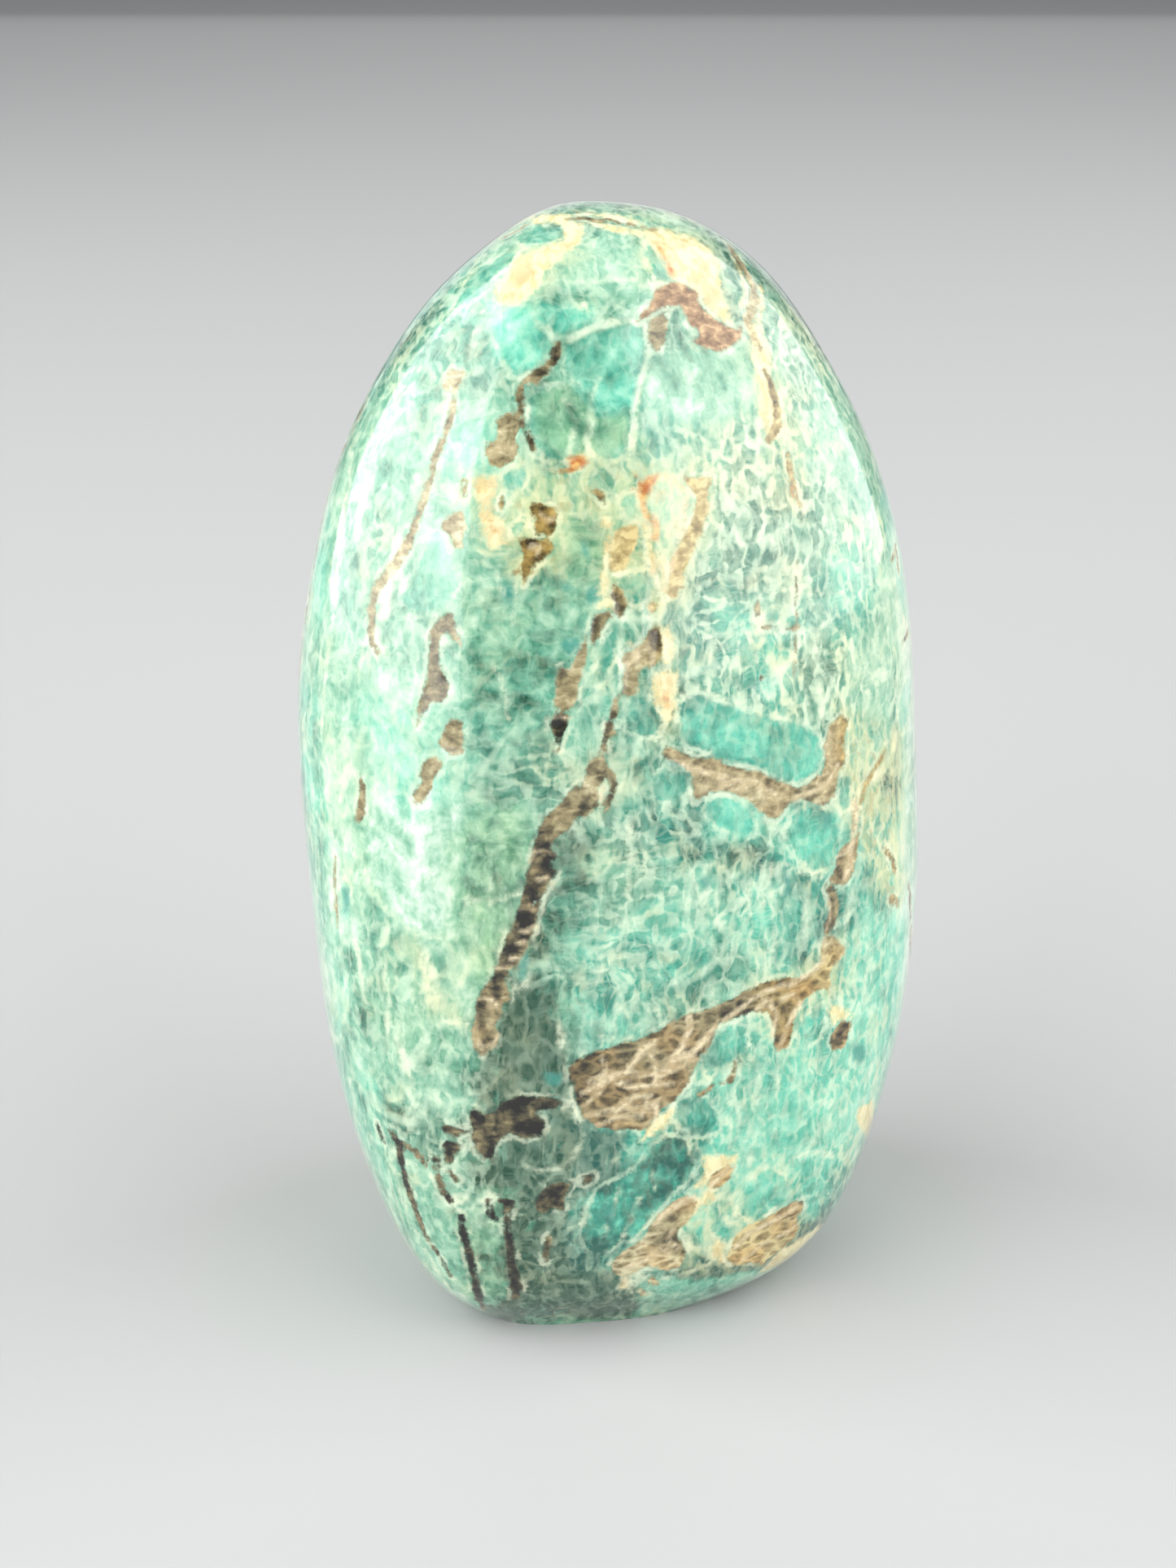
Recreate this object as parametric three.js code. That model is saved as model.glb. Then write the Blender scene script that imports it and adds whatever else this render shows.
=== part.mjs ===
// A polished amazonite freeform: one piece of stone, ground to an upright rounded
// tombstone shape and cut flat underneath so that it stands by itself.
// Millimetres, +Z up. The origin is on the flat foot, under the middle of the
// stone's bounding box. The broad polished face looks along -Y.
//
// The surface is lofted from closed rings. Each ring is a superellipse with its own
// reach to the left (-X), right (+X), front (-Y) and back (+Y) of the stone's spine,
// and it is sheared so that the left side stands a little nearer the front, as the
// foot of the stone does. The rings run from the edge of the foot up to the crown.

import * as THREE from "three";
import { mergeVertices } from "three/addons/utils/BufferGeometryUtils.js";

// ---- driving dimensions -------------------------------------------------------
const HEIGHT = 120; // foot to crown
const RINGS = 44; // from the foot's edge to the crown
const SIDES = 64; // round each ring

// Height of each station, and the reach of the stone from its spine at that height.
const STATION_Z = [0, 1.2, 4.5, 11, 21, 34, 47, 60, 72, 84, 95, 104, 111, 116, 119, HEIGHT];
const REACH_LEFT = [13.8, 16.4, 19.5, 23.6, 27.3, 29.7, 30.7, 31.3, 30.9, 28.8, 25.6, 20.9, 15.6, 9.8, 4.9, 0];
const REACH_RIGHT = [19.7, 24.2, 28.7, 32.6, 35.8, 37.9, 38.4, 37.6, 36.6, 34.4, 30.5, 25.4, 20.4, 14.7, 8.2, 0];
const REACH_FRONT = [21.4, 22.1, 24.4, 26.3, 27.3, 27.0, 26.1, 24.8, 23.2, 21.1, 18.6, 15.5, 12.2, 8.3, 4.4, 0];
const REACH_BACK = [14.0, 16.8, 19.9, 22.4, 24.0, 24.6, 24.3, 23.4, 22.1, 20.2, 17.7, 14.7, 11.5, 7.9, 4.2, 0];
// Squareness of the ring: 2 is an ellipse, larger is boxier.
const SQUARENESS = [[0, 3.1], [6, 2.95], [16, 2.6], [40, 2.3], [90, 2.2], [HEIGHT, 2.15]];
// How far the ring leans back per millimetre to the right.
const SHEAR = [[0, 0.12], [12, 0.13], [40, 0.15], [HEIGHT, 0.13]];
// Broad, shallow flats that the grinding wheel left: the angle round the stone in
// degrees (0 is +X, 90 is +Y), the height, how far each spreads in both, and its depth.
const FLATS = [
  { angle: 214, z: 62, spread: 26, rise: 34, depth: 0.7 },
  { angle: 318, z: 58, spread: 30, rise: 30, depth: 0.5 },
  { angle: 20, z: 74, spread: 24, rise: 26, depth: 0.6 },
  { angle: 128, z: 50, spread: 30, rise: 30, depth: 0.8 },
  { angle: 62, z: 84, spread: 26, rise: 20, depth: 0.6 },
  { angle: 262, z: 98, spread: 30, rise: 16, depth: 0.4 },
];

// ---- helpers ------------------------------------------------------------------
// Chord-length parameter of the stations, from the mean reach and the height.
const station = [0];
for (let i = 1; i < STATION_Z.length; i++) {
  const mean = (k) => (REACH_LEFT[k] + REACH_RIGHT[k]) / 2;
  station.push(station[i - 1] + Math.hypot(mean(i) - mean(i - 1), STATION_Z[i] - STATION_Z[i - 1]));
}
const span = station[station.length - 1];
for (let i = 0; i < station.length; i++) station[i] /= span;

// Cubic spline through (xs, ys): free at the start, and at the end either free or level.
function spline(xs, ys, levelEnd = false) {
  const n = xs.length;
  const lower = new Float64Array(n), diag = new Float64Array(n).fill(1), upper = new Float64Array(n), rhs = new Float64Array(n);
  for (let i = 1; i < n - 1; i++) {
    const h0 = xs[i] - xs[i - 1], h1 = xs[i + 1] - xs[i];
    lower[i] = h0;
    diag[i] = 2 * (h0 + h1);
    upper[i] = h1;
    rhs[i] = 6 * ((ys[i + 1] - ys[i]) / h1 - (ys[i] - ys[i - 1]) / h0);
  }
  if (levelEnd) {
    const h = xs[n - 1] - xs[n - 2];
    lower[n - 1] = h;
    diag[n - 1] = 2 * h;
    rhs[n - 1] = -6 * (ys[n - 1] - ys[n - 2]) / h;
  }
  for (let i = 1; i < n; i++) {
    const w = lower[i] / diag[i - 1];
    diag[i] -= w * upper[i - 1];
    rhs[i] -= w * rhs[i - 1];
  }
  const bend = new Float64Array(n);
  for (let i = n - 1; i >= 0; i--) bend[i] = (rhs[i] - (i < n - 1 ? upper[i] * bend[i + 1] : 0)) / diag[i];
  return (x) => {
    let i = 0;
    while (i < n - 2 && x > xs[i + 1]) i++;
    const h = xs[i + 1] - xs[i], a = (xs[i + 1] - x) / h, b = (x - xs[i]) / h;
    return a * ys[i] + b * ys[i + 1] + ((a * a * a - a) * bend[i] + (b * b * b - b) * bend[i + 1]) * h * h / 6;
  };
}

function ramp(table, z) {
  let i = 0;
  while (i < table.length - 2 && z > table[i + 1][0]) i++;
  const t = THREE.MathUtils.clamp((z - table[i][0]) / (table[i + 1][0] - table[i][0]), 0, 1);
  return THREE.MathUtils.lerp(table[i][1], table[i + 1][1], t);
}

const heightAt = spline(station, STATION_Z, true);
const leftAt = spline(station, REACH_LEFT);
const rightAt = spline(station, REACH_RIGHT);
const frontAt = spline(station, REACH_FRONT);
const backAt = spline(station, REACH_BACK);

const ease = (t) => t * (1.5 - 0.5 * t * t);

function ringPoint(s, phi) {
  const z = THREE.MathUtils.clamp(heightAt(s), 0, HEIGHT);
  const c = Math.cos(phi), n = Math.sin(phi);
  const xl = Math.max(leftAt(s), 1e-6), xr = Math.max(rightAt(s), 1e-6);
  const yf = Math.max(frontAt(s), 1e-6), yb = Math.max(backAt(s), 1e-6);
  const a = (xr + xl) / 2 + ((xr - xl) / 2) * ease(c);
  const b = (yb + yf) / 2 + ((yb - yf) / 2) * ease(n);
  const k = ramp(SQUARENESS, z);
  let r = Math.pow(Math.pow(Math.abs(c / a), k) + Math.pow(Math.abs(n / b), k), -1 / k);
  const degrees = THREE.MathUtils.radToDeg(phi);
  for (const f of FLATS) {
    const turn = ((degrees - f.angle + 540) % 360) - 180;
    r -= f.depth * Math.exp(-((turn / f.spread) ** 2) - ((z - f.z) / f.rise) ** 2) * Math.min(1, r / 20);
  }
  return new THREE.Vector3(r * c, r * n + ramp(SHEAR, z) * r * c, z);
}

// ---- the stone ----------------------------------------------------------------
function stoneGeometry() {
  const positions = [], index = [];
  for (let i = 0; i < RINGS; i++) {
    const u = i / RINGS;
    const s = u * (0.68 + 0.32 * u); // rings are closer together round the foot
    for (let j = 0; j < SIDES; j++) positions.push(...ringPoint(s, (2 * Math.PI * j) / SIDES).toArray());
  }
  const crown = positions.length / 3;
  positions.push(0, 0, HEIGHT);
  const foot = crown + 1;
  positions.push((REACH_RIGHT[0] - REACH_LEFT[0]) / 2, 0, 0);
  for (let i = 0; i < RINGS; i++) {
    for (let j = 0; j < SIDES; j++) {
      const a = i * SIDES + j, b = i * SIDES + ((j + 1) % SIDES);
      if (i === RINGS - 1) index.push(a, b, crown);
      else index.push(a, b, b + SIDES, a, b + SIDES, a + SIDES);
      if (i === 0) index.push(b, a, foot);
    }
  }
  let geometry = new THREE.BufferGeometry();
  geometry.setAttribute("position", new THREE.Float32BufferAttribute(positions, 3));
  geometry.setIndex(index);
  // Bring the middle of the bounding box over the origin.
  geometry.computeBoundingBox();
  const middle = geometry.boundingBox.getCenter(new THREE.Vector3());
  geometry.translate(-middle.x, -middle.y, 0);
  geometry = mergeVertices(geometry, 1e-4);
  geometry.computeVertexNormals();
  return geometry;
}

const polished = new THREE.MeshStandardMaterial({
  name: "polished_amazonite",
  color: new THREE.Color(0.36, 0.62, 0.56),
  roughness: 0.14,
  metalness: 0,
});

const stone = new THREE.Mesh(stoneGeometry(), polished);
stone.name = "stone";

const amazoniteFreeform = new THREE.Group();
amazoniteFreeform.name = "amazonite_freeform";
amazoniteFreeform.add(stone);

export default amazoniteFreeform;
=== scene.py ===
# Looks of the amazonite freeform: a fine mesh of the same stone as the CAD solid, with its
# veins, cells and seams laid out one by one and its grain made by nodes.
# Metres, +Z up, the broad face looks along -Y. Tables below are in millimetres.
import bpy
import math
import numpy as np
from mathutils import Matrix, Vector
from mathutils.bvhtree import BVHTree


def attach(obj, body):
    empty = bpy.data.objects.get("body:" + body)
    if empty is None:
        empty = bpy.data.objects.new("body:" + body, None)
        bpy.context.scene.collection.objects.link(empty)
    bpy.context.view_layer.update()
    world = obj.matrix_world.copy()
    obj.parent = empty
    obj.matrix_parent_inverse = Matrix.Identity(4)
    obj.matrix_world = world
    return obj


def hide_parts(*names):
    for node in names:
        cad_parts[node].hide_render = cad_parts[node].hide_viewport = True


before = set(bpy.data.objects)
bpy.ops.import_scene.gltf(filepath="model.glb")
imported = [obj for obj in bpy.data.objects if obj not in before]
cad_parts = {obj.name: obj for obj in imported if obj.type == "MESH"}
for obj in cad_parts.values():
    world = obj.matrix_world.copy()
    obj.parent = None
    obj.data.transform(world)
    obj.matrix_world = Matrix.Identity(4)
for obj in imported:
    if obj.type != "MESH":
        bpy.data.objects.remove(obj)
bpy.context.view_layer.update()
scene = bpy.context.scene

# ---- camera: the main view is 1445 x 1927 pixels, focal length 2880 pixels, 21.5 degrees down
EYE = np.array([-3.269, -241.776, 152.0])
PITCH = math.radians(21.5)
FOCAL, MID_U, MID_V = 2880.0, 722.5, 963.5

cam_data = bpy.data.cameras.new("camera")
cam_data.sensor_fit = "AUTO"
cam_data.sensor_width = 36.0
cam_data.lens = 36.0 * FOCAL / 1927.0
cam_data.clip_start = 0.01
cam_data.clip_end = 100.0
cam = bpy.data.objects.new("camera", cam_data)
cam.location = EYE / 1000.0
cam.rotation_euler = (math.pi / 2 - PITCH, 0, 0)
scene.collection.objects.link(cam)
scene.camera = cam

# ---- layout of the markings on the front, with some painted light and shade -------------
# Outlines are given where they stand in the main view and are laid on the stone's surface.
# Lines carry a half width at each point.

FRONT = {
 "brown": [
  # strip and dark ends left of the middle
  [(720,784),(722,800),(718,815),(716,830),(710,840),(709,855),(706,865),(702,878),(697,870),(694,855),(698,840),(697,826),(704,815),(712,800)],
  [(686,826),(692,819),(698,826),(699,840),(702,860),(700,876),(690,871),(682,868),(683,845)],
  [(688,872),(700,880),(698,890),(694,905),(689,917),(682,906),(676,895),(677,884)],
  [(765,852),(762,862),(758,878),(753,890),(762,904),(750,908),(745,914),(747,926),(738,922),(742,905),(746,890),(748,880),(752,868),(755,855)],
  [(735,929),(742,931),(748,945),(756,950),(760,962),(758,975),(752,985),(745,998),(741,1000),(744,985),(748,975),(750,962),(744,955),(740,963),(735,972),(736,982),(739,990),(728,996),(722,1008),(714,1004),(706,1010),(698,1020),(690,1026),(682,1034),(680,1040),(677,1045),(686,1052),(678,1059),(675,1066),(683,1073),(681,1080),(672,1084),(668,1090),(664,1098),(659,1110),(653,1116),(657,1123),(658,1134),(650,1142),(648,1149),(649,1157),(642,1162),(640,1172),(633,1181),(630,1188),(622,1192),(626,1201),(620,1205),(622,1213),(626,1228),(618,1236),(614,1250),(608,1262),(613,1272),(610,1284),(600,1292),(594,1298),(584,1290),(578,1275),(580,1260),(584,1245),(586,1228),(592,1218),(600,1209),(606,1199),(612,1185),(616,1170),(624,1150),(634,1130),(640,1110),(645,1090),(650,1065),(655,1045),(660,1028),(665,1014),(672,1005),(680,996),(690,985),(700,974),(709,966),(716,968),(720,960),(722,945),(726,937)],
  [(679,922),(686,922),(685,929),(680,928)],
  [(782,394),(794,386),(806,377),(826,375),(820,382),(806,386),(796,394)],
  [(795,742),(803,738),(812,742),(808,752),(798,757)],
  [(728,601),(736,600),(744,612),(742,620),(734,612)],
  [(716,573),(690,576),(664,579),(662,582),(690,581)],
  # hook and block above the long vein
  [(752,718),(758,717),(766,728),(772,742),(769,753),(760,762),(756,754),(758,742),(752,732)],
  [(727,760),(740,752),(752,752),(746,764),(738,780),(728,800),(726,780)],
  [(804,767),(812,773),(813,790),(813,812),(806,820),(796,820),(786,826),(785,840),(784,852),(772,857),(764,850),(765,836),(768,822),(764,812),(768,802),(780,798),(792,792),(796,780)],
  # veins and patches, upper left
  [(611,512),(629,504),(637,520),(635,536),(637,550),(632,566),(619,574),(603,571),(595,555),(597,544),(611,541),(608,528)],
  [(541,640),(568,624),(573,640),(568,656),(568,672),(560,675),(552,659),(544,651)],
  [(567,588),(573,590),(573,610),(567,611)],
  [(648,620),(660,617),(672,621),(684,626),(683,640),(681,656),(672,660),(662,656),(656,648),(658,636),(652,628)],
  [(636,662),(650,660),(662,664),(676,664),(680,672),(674,680),(666,688),(656,694),(650,706),(644,718),(641,704),(630,706),(640,694),(644,682),(640,672)],
  [(616,612),(620,620),(617,628),(613,620)],
  [(554,453),(570,456),(568,469),(557,483),(541,477),(546,466)],
  [(541,758),(554,753),(560,774),(565,788),(568,798),(560,788),(549,777),(541,782),(538,801),(541,822),(552,841),(549,857),(538,865),(527,863),(517,881),(511,895),(514,868),(519,852),(525,828),(525,801),(530,774)],
  [(554,884),(568,887),(568,927),(562,931),(552,927),(538,916),(541,906),(549,895)],
  [(525,932),(535,929),(542,940),(530,962),(525,980),(517,990),(509,991),(505,983),(507,972),(517,959),(515,945)],
  [(439,948),(447,970),(447,1002),(439,1015),(435,1007),(440,980)],
  # olive lens near the top
  [(799,392),(815,384),(825,389),(821,404),(818,418),(808,431),(799,421),(796,407)],
  # right of the middle
  [(757,649),(786,646),(783,669),(775,686),(769,701),(749,703),(749,681)],
  [(838,583),(852,586),(875,586),(871,603),(872,629),(864,649),(855,675),(841,698),(841,721),(829,735),(823,732),(823,715),(826,683),(843,658),(852,635),(858,609),(843,592)],
  # the band under the blue lens, and the strips to its right
  [(815,917),(832,923),(855,932),(878,932),(901,943),(924,947),(944,954),(964,963),(984,969),(998,960),(1013,949),(1016,929),(1013,917),(1019,906),(1039,917),(1042,932),(1030,954),(1029,977),(1016,990),(998,986),(981,980),(970,989),(958,1006),(947,1008),(932,995),(918,983),(901,975),(884,972),(866,980),(855,986),(852,975),(852,952),(838,940),(815,934)],
  [(1018,906),(1022,890),(1034,880),(1044,884),(1040,900),(1040,918)],
  [(1039,1038),(1053,1032),(1059,1009),(1056,1043),(1050,1072),(1039,1089),(1016,1087),(1027,1072),(1030,1052)],
  [(1016,1089),(1030,1095),(1033,1112),(1027,1138),(1016,1153),(1013,1141),(1021,1118)],
  [(1013,1153),(1024,1150),(1042,1167),(1036,1176),(1024,1190),(1013,1204),(1010,1176)],
  # the big lens and what runs up from it
  [(700,1310),(717,1300),(734,1293),(756,1286),(787,1279),(809,1268),(829,1255),(852,1246),(880,1241),(880,1268),(874,1282),(860,1304),(849,1324),(838,1344),(821,1361),(809,1369),(798,1386),(787,1391),(756,1389),(736,1386),(717,1375),(708,1352),(706,1335),(700,1327)],
  [(852,1248),(884,1236),(907,1224),(930,1213),(950,1204),(973,1201),(987,1204),(998,1198),(1010,1187),(1013,1158),(1016,1147),(1020,1180),(1024,1230),(1016,1216),(1001,1219),(987,1233),(975,1244),(978,1256),(970,1285),(958,1293),(950,1287),(955,1267),(944,1244),(927,1244),(912,1250),(884,1259),(866,1276)],
  [(1023,1271),(1037,1254),(1048,1257),(1046,1268),(1037,1290),(1025,1293),(1021,1282)],
  # dark patch at the lower left and its bits
  [(576,1362),(584,1362),(591,1370),(609,1368),(617,1357),(635,1348),(655,1350),(683,1350),(697,1357),(683,1364),(663,1365),(655,1373),(670,1378),(670,1390),(658,1398),(645,1401),(624,1393),(609,1406),(607,1429),(594,1426),(586,1416),(579,1398),(582,1388),(576,1375)],
  [(536,1386),(548,1383),(563,1388),(579,1393),(558,1397),(548,1394)],
  [(545,1403),(561,1406),(567,1413),(558,1421),(553,1434),(545,1429),(544,1416)],
  [(524,1419),(538,1422),(542,1434),(535,1436)],
  [(658,1475),(668,1462),(686,1454),(704,1454),(698,1467),(693,1477),(696,1490),(681,1485),(665,1493),(658,1487)],
  [(716,1446),(731,1442),(728,1454),(718,1458)],
  # patches at the lower right
  [(905,1431),(896,1453),(880,1462),(868,1458),(876,1446),(890,1436)],
  [(857,1480),(846,1504),(835,1509),(832,1521),(843,1537),(840,1554),(823,1563),(807,1560),(793,1557),(773,1571),(759,1571),(750,1557),(767,1537),(787,1526),(798,1509),(812,1492),(829,1476),(846,1470)],
  [(894,1547),(900,1535),(904,1521),(912,1513),(926,1504),(943,1498),(955,1490),(967,1483),(973,1478),(987,1477),(987,1487),(981,1495),(981,1507),(978,1521),(967,1532),(955,1542),(943,1550),(940,1556),(926,1552),(910,1556),(898,1553)],
 ],
 "red": [
  [(808,353),(829,345),(843,349),(858,359),(859,372),(872,386),(889,398),(907,404),(914,399),(912,415),(901,424),(887,432),(872,428),(854,421),(856,415),(865,409),(849,398),(843,384),(838,375),(821,374),(806,379),(783,394),(798,376)],
 ],
 "cream": [
  [(795,286),(821,280),(849,289),(872,303),(884,318),(884,335),(889,346),(887,361),(898,381),(901,398),(884,389),(866,372),(861,361),(843,349),(826,341),(815,320),(806,306),(795,295)],
  [(652,263),(680,262),(700,268),(715,273),(718,290),(707,303),(694,308),(686,318),(669,335),(653,362),(635,373),(611,370),(605,359),(619,338),(635,316),(656,306),(672,300),(694,290),(692,274),(670,272),(652,273)],
  [(581,587),(611,584),(611,605),(597,622),(621,643),(624,656),(613,670),(603,675),(597,659),(589,638),(589,619),(582,605)],
  [(930,404),(941,415),(947,455),(961,507),(964,536),(947,541),(935,507),(930,464),(924,421)],
  [(600,668),(614,660),(622,668),(612,676)],
  [(812,776),(822,770),(828,780),(828,800),(826,815),(816,816),(812,800)],
  [(806,828),(836,824),(830,850),(830,870),(824,890),(816,880),(806,864),(800,846)],
  [(1018,1238),(1036,1236),(1048,1246),(1046,1254),(1034,1254),(1024,1262)],
  [(1056,1363),(1073,1352),(1076,1372),(1068,1400),(1059,1391),(1055,1375)],
  [(1007,1506),(995,1516),(979,1527),(959,1538),(946,1553),(933,1565),(946,1562),(967,1552),(990,1535),(1007,1516),(1013,1506)],
  [(864,1424),(880,1420),(896,1424),(908,1420),(906,1432),(890,1438),(876,1448),(868,1460),(852,1462),(866,1444)],
  [(868,1462),(884,1460),(880,1474),(862,1484),(850,1496),(844,1486)],
  [(874,1537),(882,1520),(890,1530),(892,1552),(884,1556)],
  [(787,1405),(800,1384),(822,1364),(829,1366),(818,1384),(800,1396)],
 ],
 "rust": [
  [(699,563),(715,557),(726,566),(715,576),(699,578)],
  [(819,326),(827,325),(833,333),(829,339),(821,334)],
  [(783,597),(795,586),(812,580),(803,600),(795,614),(789,614),(786,606)],
 ],
 "cell": [
  [(605,399),(624,378),(637,375),(651,383),(656,397),(672,413),(675,426),(656,448),(640,461),(629,458),(619,440),(611,416)],
  [(661,370),(690,376),(723,381),(738,391),(723,400),(694,411),(682,411),(661,394)],
  [(699,423),(724,409),(760,399),(790,398),(794,412),(795,432),(790,450),(783,470),(776,500),(774,543),(763,558),(748,565),(732,557),(728,545),(731,520),(733,500),(722,480),(705,465),(694,450)],
  [(792,298),(800,296),(806,308),(812,322),(820,331),(827,339),(820,347),(808,344),(802,330),(796,315)],
  [(618,608),(624,610),(625,620),(621,628),(617,622)],
  [(628,648),(636,638),(645,634),(643,648),(636,660),(630,656)],
  [(757,710),(775,705),(800,706),(804,724),(798,738),(780,742),(766,730)],
  [(762,762),(746,784),(738,812),(732,838),(740,838),(756,800),(762,780)],
  [(770,636),(762,622),(766,610),(780,606),(784,622),(782,634)],
  [(620,578),(634,574),(646,584),(640,598),(628,606),(620,594)],
  [(652,488),(669,475),(696,477),(719,475),(723,504),(718,536),(718,557),(707,561),(688,566),(672,563),(657,541),(650,512)],
  [(632,295),(640,286),(661,278),(691,279),(691,289),(675,297),(648,300)],
  [(581,332),(597,324),(619,311),(632,311),(624,327),(605,338),(589,359),(576,370),(554,381),(560,370)],
  [(838,864),(852,853),(872,856),(889,867),(907,873),(938,879),(947,884),(964,884),(987,893),(1008,907),(1010,929),(1006,946),(995,955),(984,962),(964,957),(944,948),(924,941),(901,936),(878,925),(861,921),(846,918),(838,899),(835,881)],
  [(872,985),(889,980),(909,986),(922,999),(928,1020),(915,1029),(901,1021),(884,1015),(872,1012),(867,1000)],
  [(966,1020),(977,1000),(998,995),(1020,998),(1030,1015),(1035,1023),(1025,1043),(1016,1067),(1004,1070),(988,1062),(974,1043)],
  [(800,957),(821,946),(846,956),(847,974),(826,987),(806,983)],
  [(1033,957),(1044,955),(1047,975),(1044,994),(1035,998),(1031,975)],
  [(772,867),(786,856),(803,864),(815,884),(809,902),(786,904),(772,896)],
  [(807,1408),(823,1397),(843,1403),(846,1422),(855,1436),(844,1453),(824,1470),(807,1487),(793,1506),(780,1521),(756,1533),(728,1545),(714,1521),(722,1492),(734,1464),(756,1453),(784,1436)],
  [(913,1473),(924,1453),(947,1436),(967,1448),(967,1473),(947,1489),(927,1500),(913,1495)],
  [(876,1504),(888,1500),(898,1508),(898,1530),(886,1522),(876,1518)],
  [(492,735),(512,700),(530,655),(545,660),(556,690),(560,720),(545,745),(520,752),(500,750)],
  [(880,1275),(896,1262),(914,1262),(922,1280),(908,1300),(886,1310),(872,1322),(866,1312)],
  [(982,1262),(1000,1240),(1014,1238),(1014,1262),(1004,1280),(986,1284)],
  [(835,1352),(858,1346),(880,1362),(884,1390),(862,1396),(838,1384),(828,1372)],
  [(418,1082),(428,1086),(428,1120),(424,1134),(418,1130)],
  [(424,1034),(431,1044),(432,1064),(426,1070)],
  [(1106,870),(1116,830),(1122,838),(1120,880),(1110,900)],
 ],
 "deep": [
  [(1009,1000),(1018,998),(1024,1008),(1020,1018),(1011,1014)],
  [(1048,1284),(1060,1283),(1066,1296),(1060,1308),(1050,1304)],
  [(419,1092),(427,1092),(427,1118),(421,1122)],
  [(688,716),(700,718),(704,726),(692,726)],
  [(714,664),(720,668),(726,682),(722,690),(716,680)],
  [(720,726),(736,716),(737,738),(724,742)],
  [(616,722),(626,724),(628,745),(618,738)],
  [(686,790),(706,786),(716,800),(700,806)],
  [(694,784),(710,786),(714,798),(700,803)],
  [(616,716),(632,722),(630,740),(624,742)],
  [(860,1080),(872,1076),(874,1092),(864,1098)],
  [(742,1490),(752,1478),(756,1500),(748,1512)],
  [(964,1058),(972,1062),(972,1100),(965,1104)],
  [(668,1318),(690,1322),(688,1336),(672,1334)],
  [(636,1172),(650,1176),(648,1200),(640,1210)],
 ],
}
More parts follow.
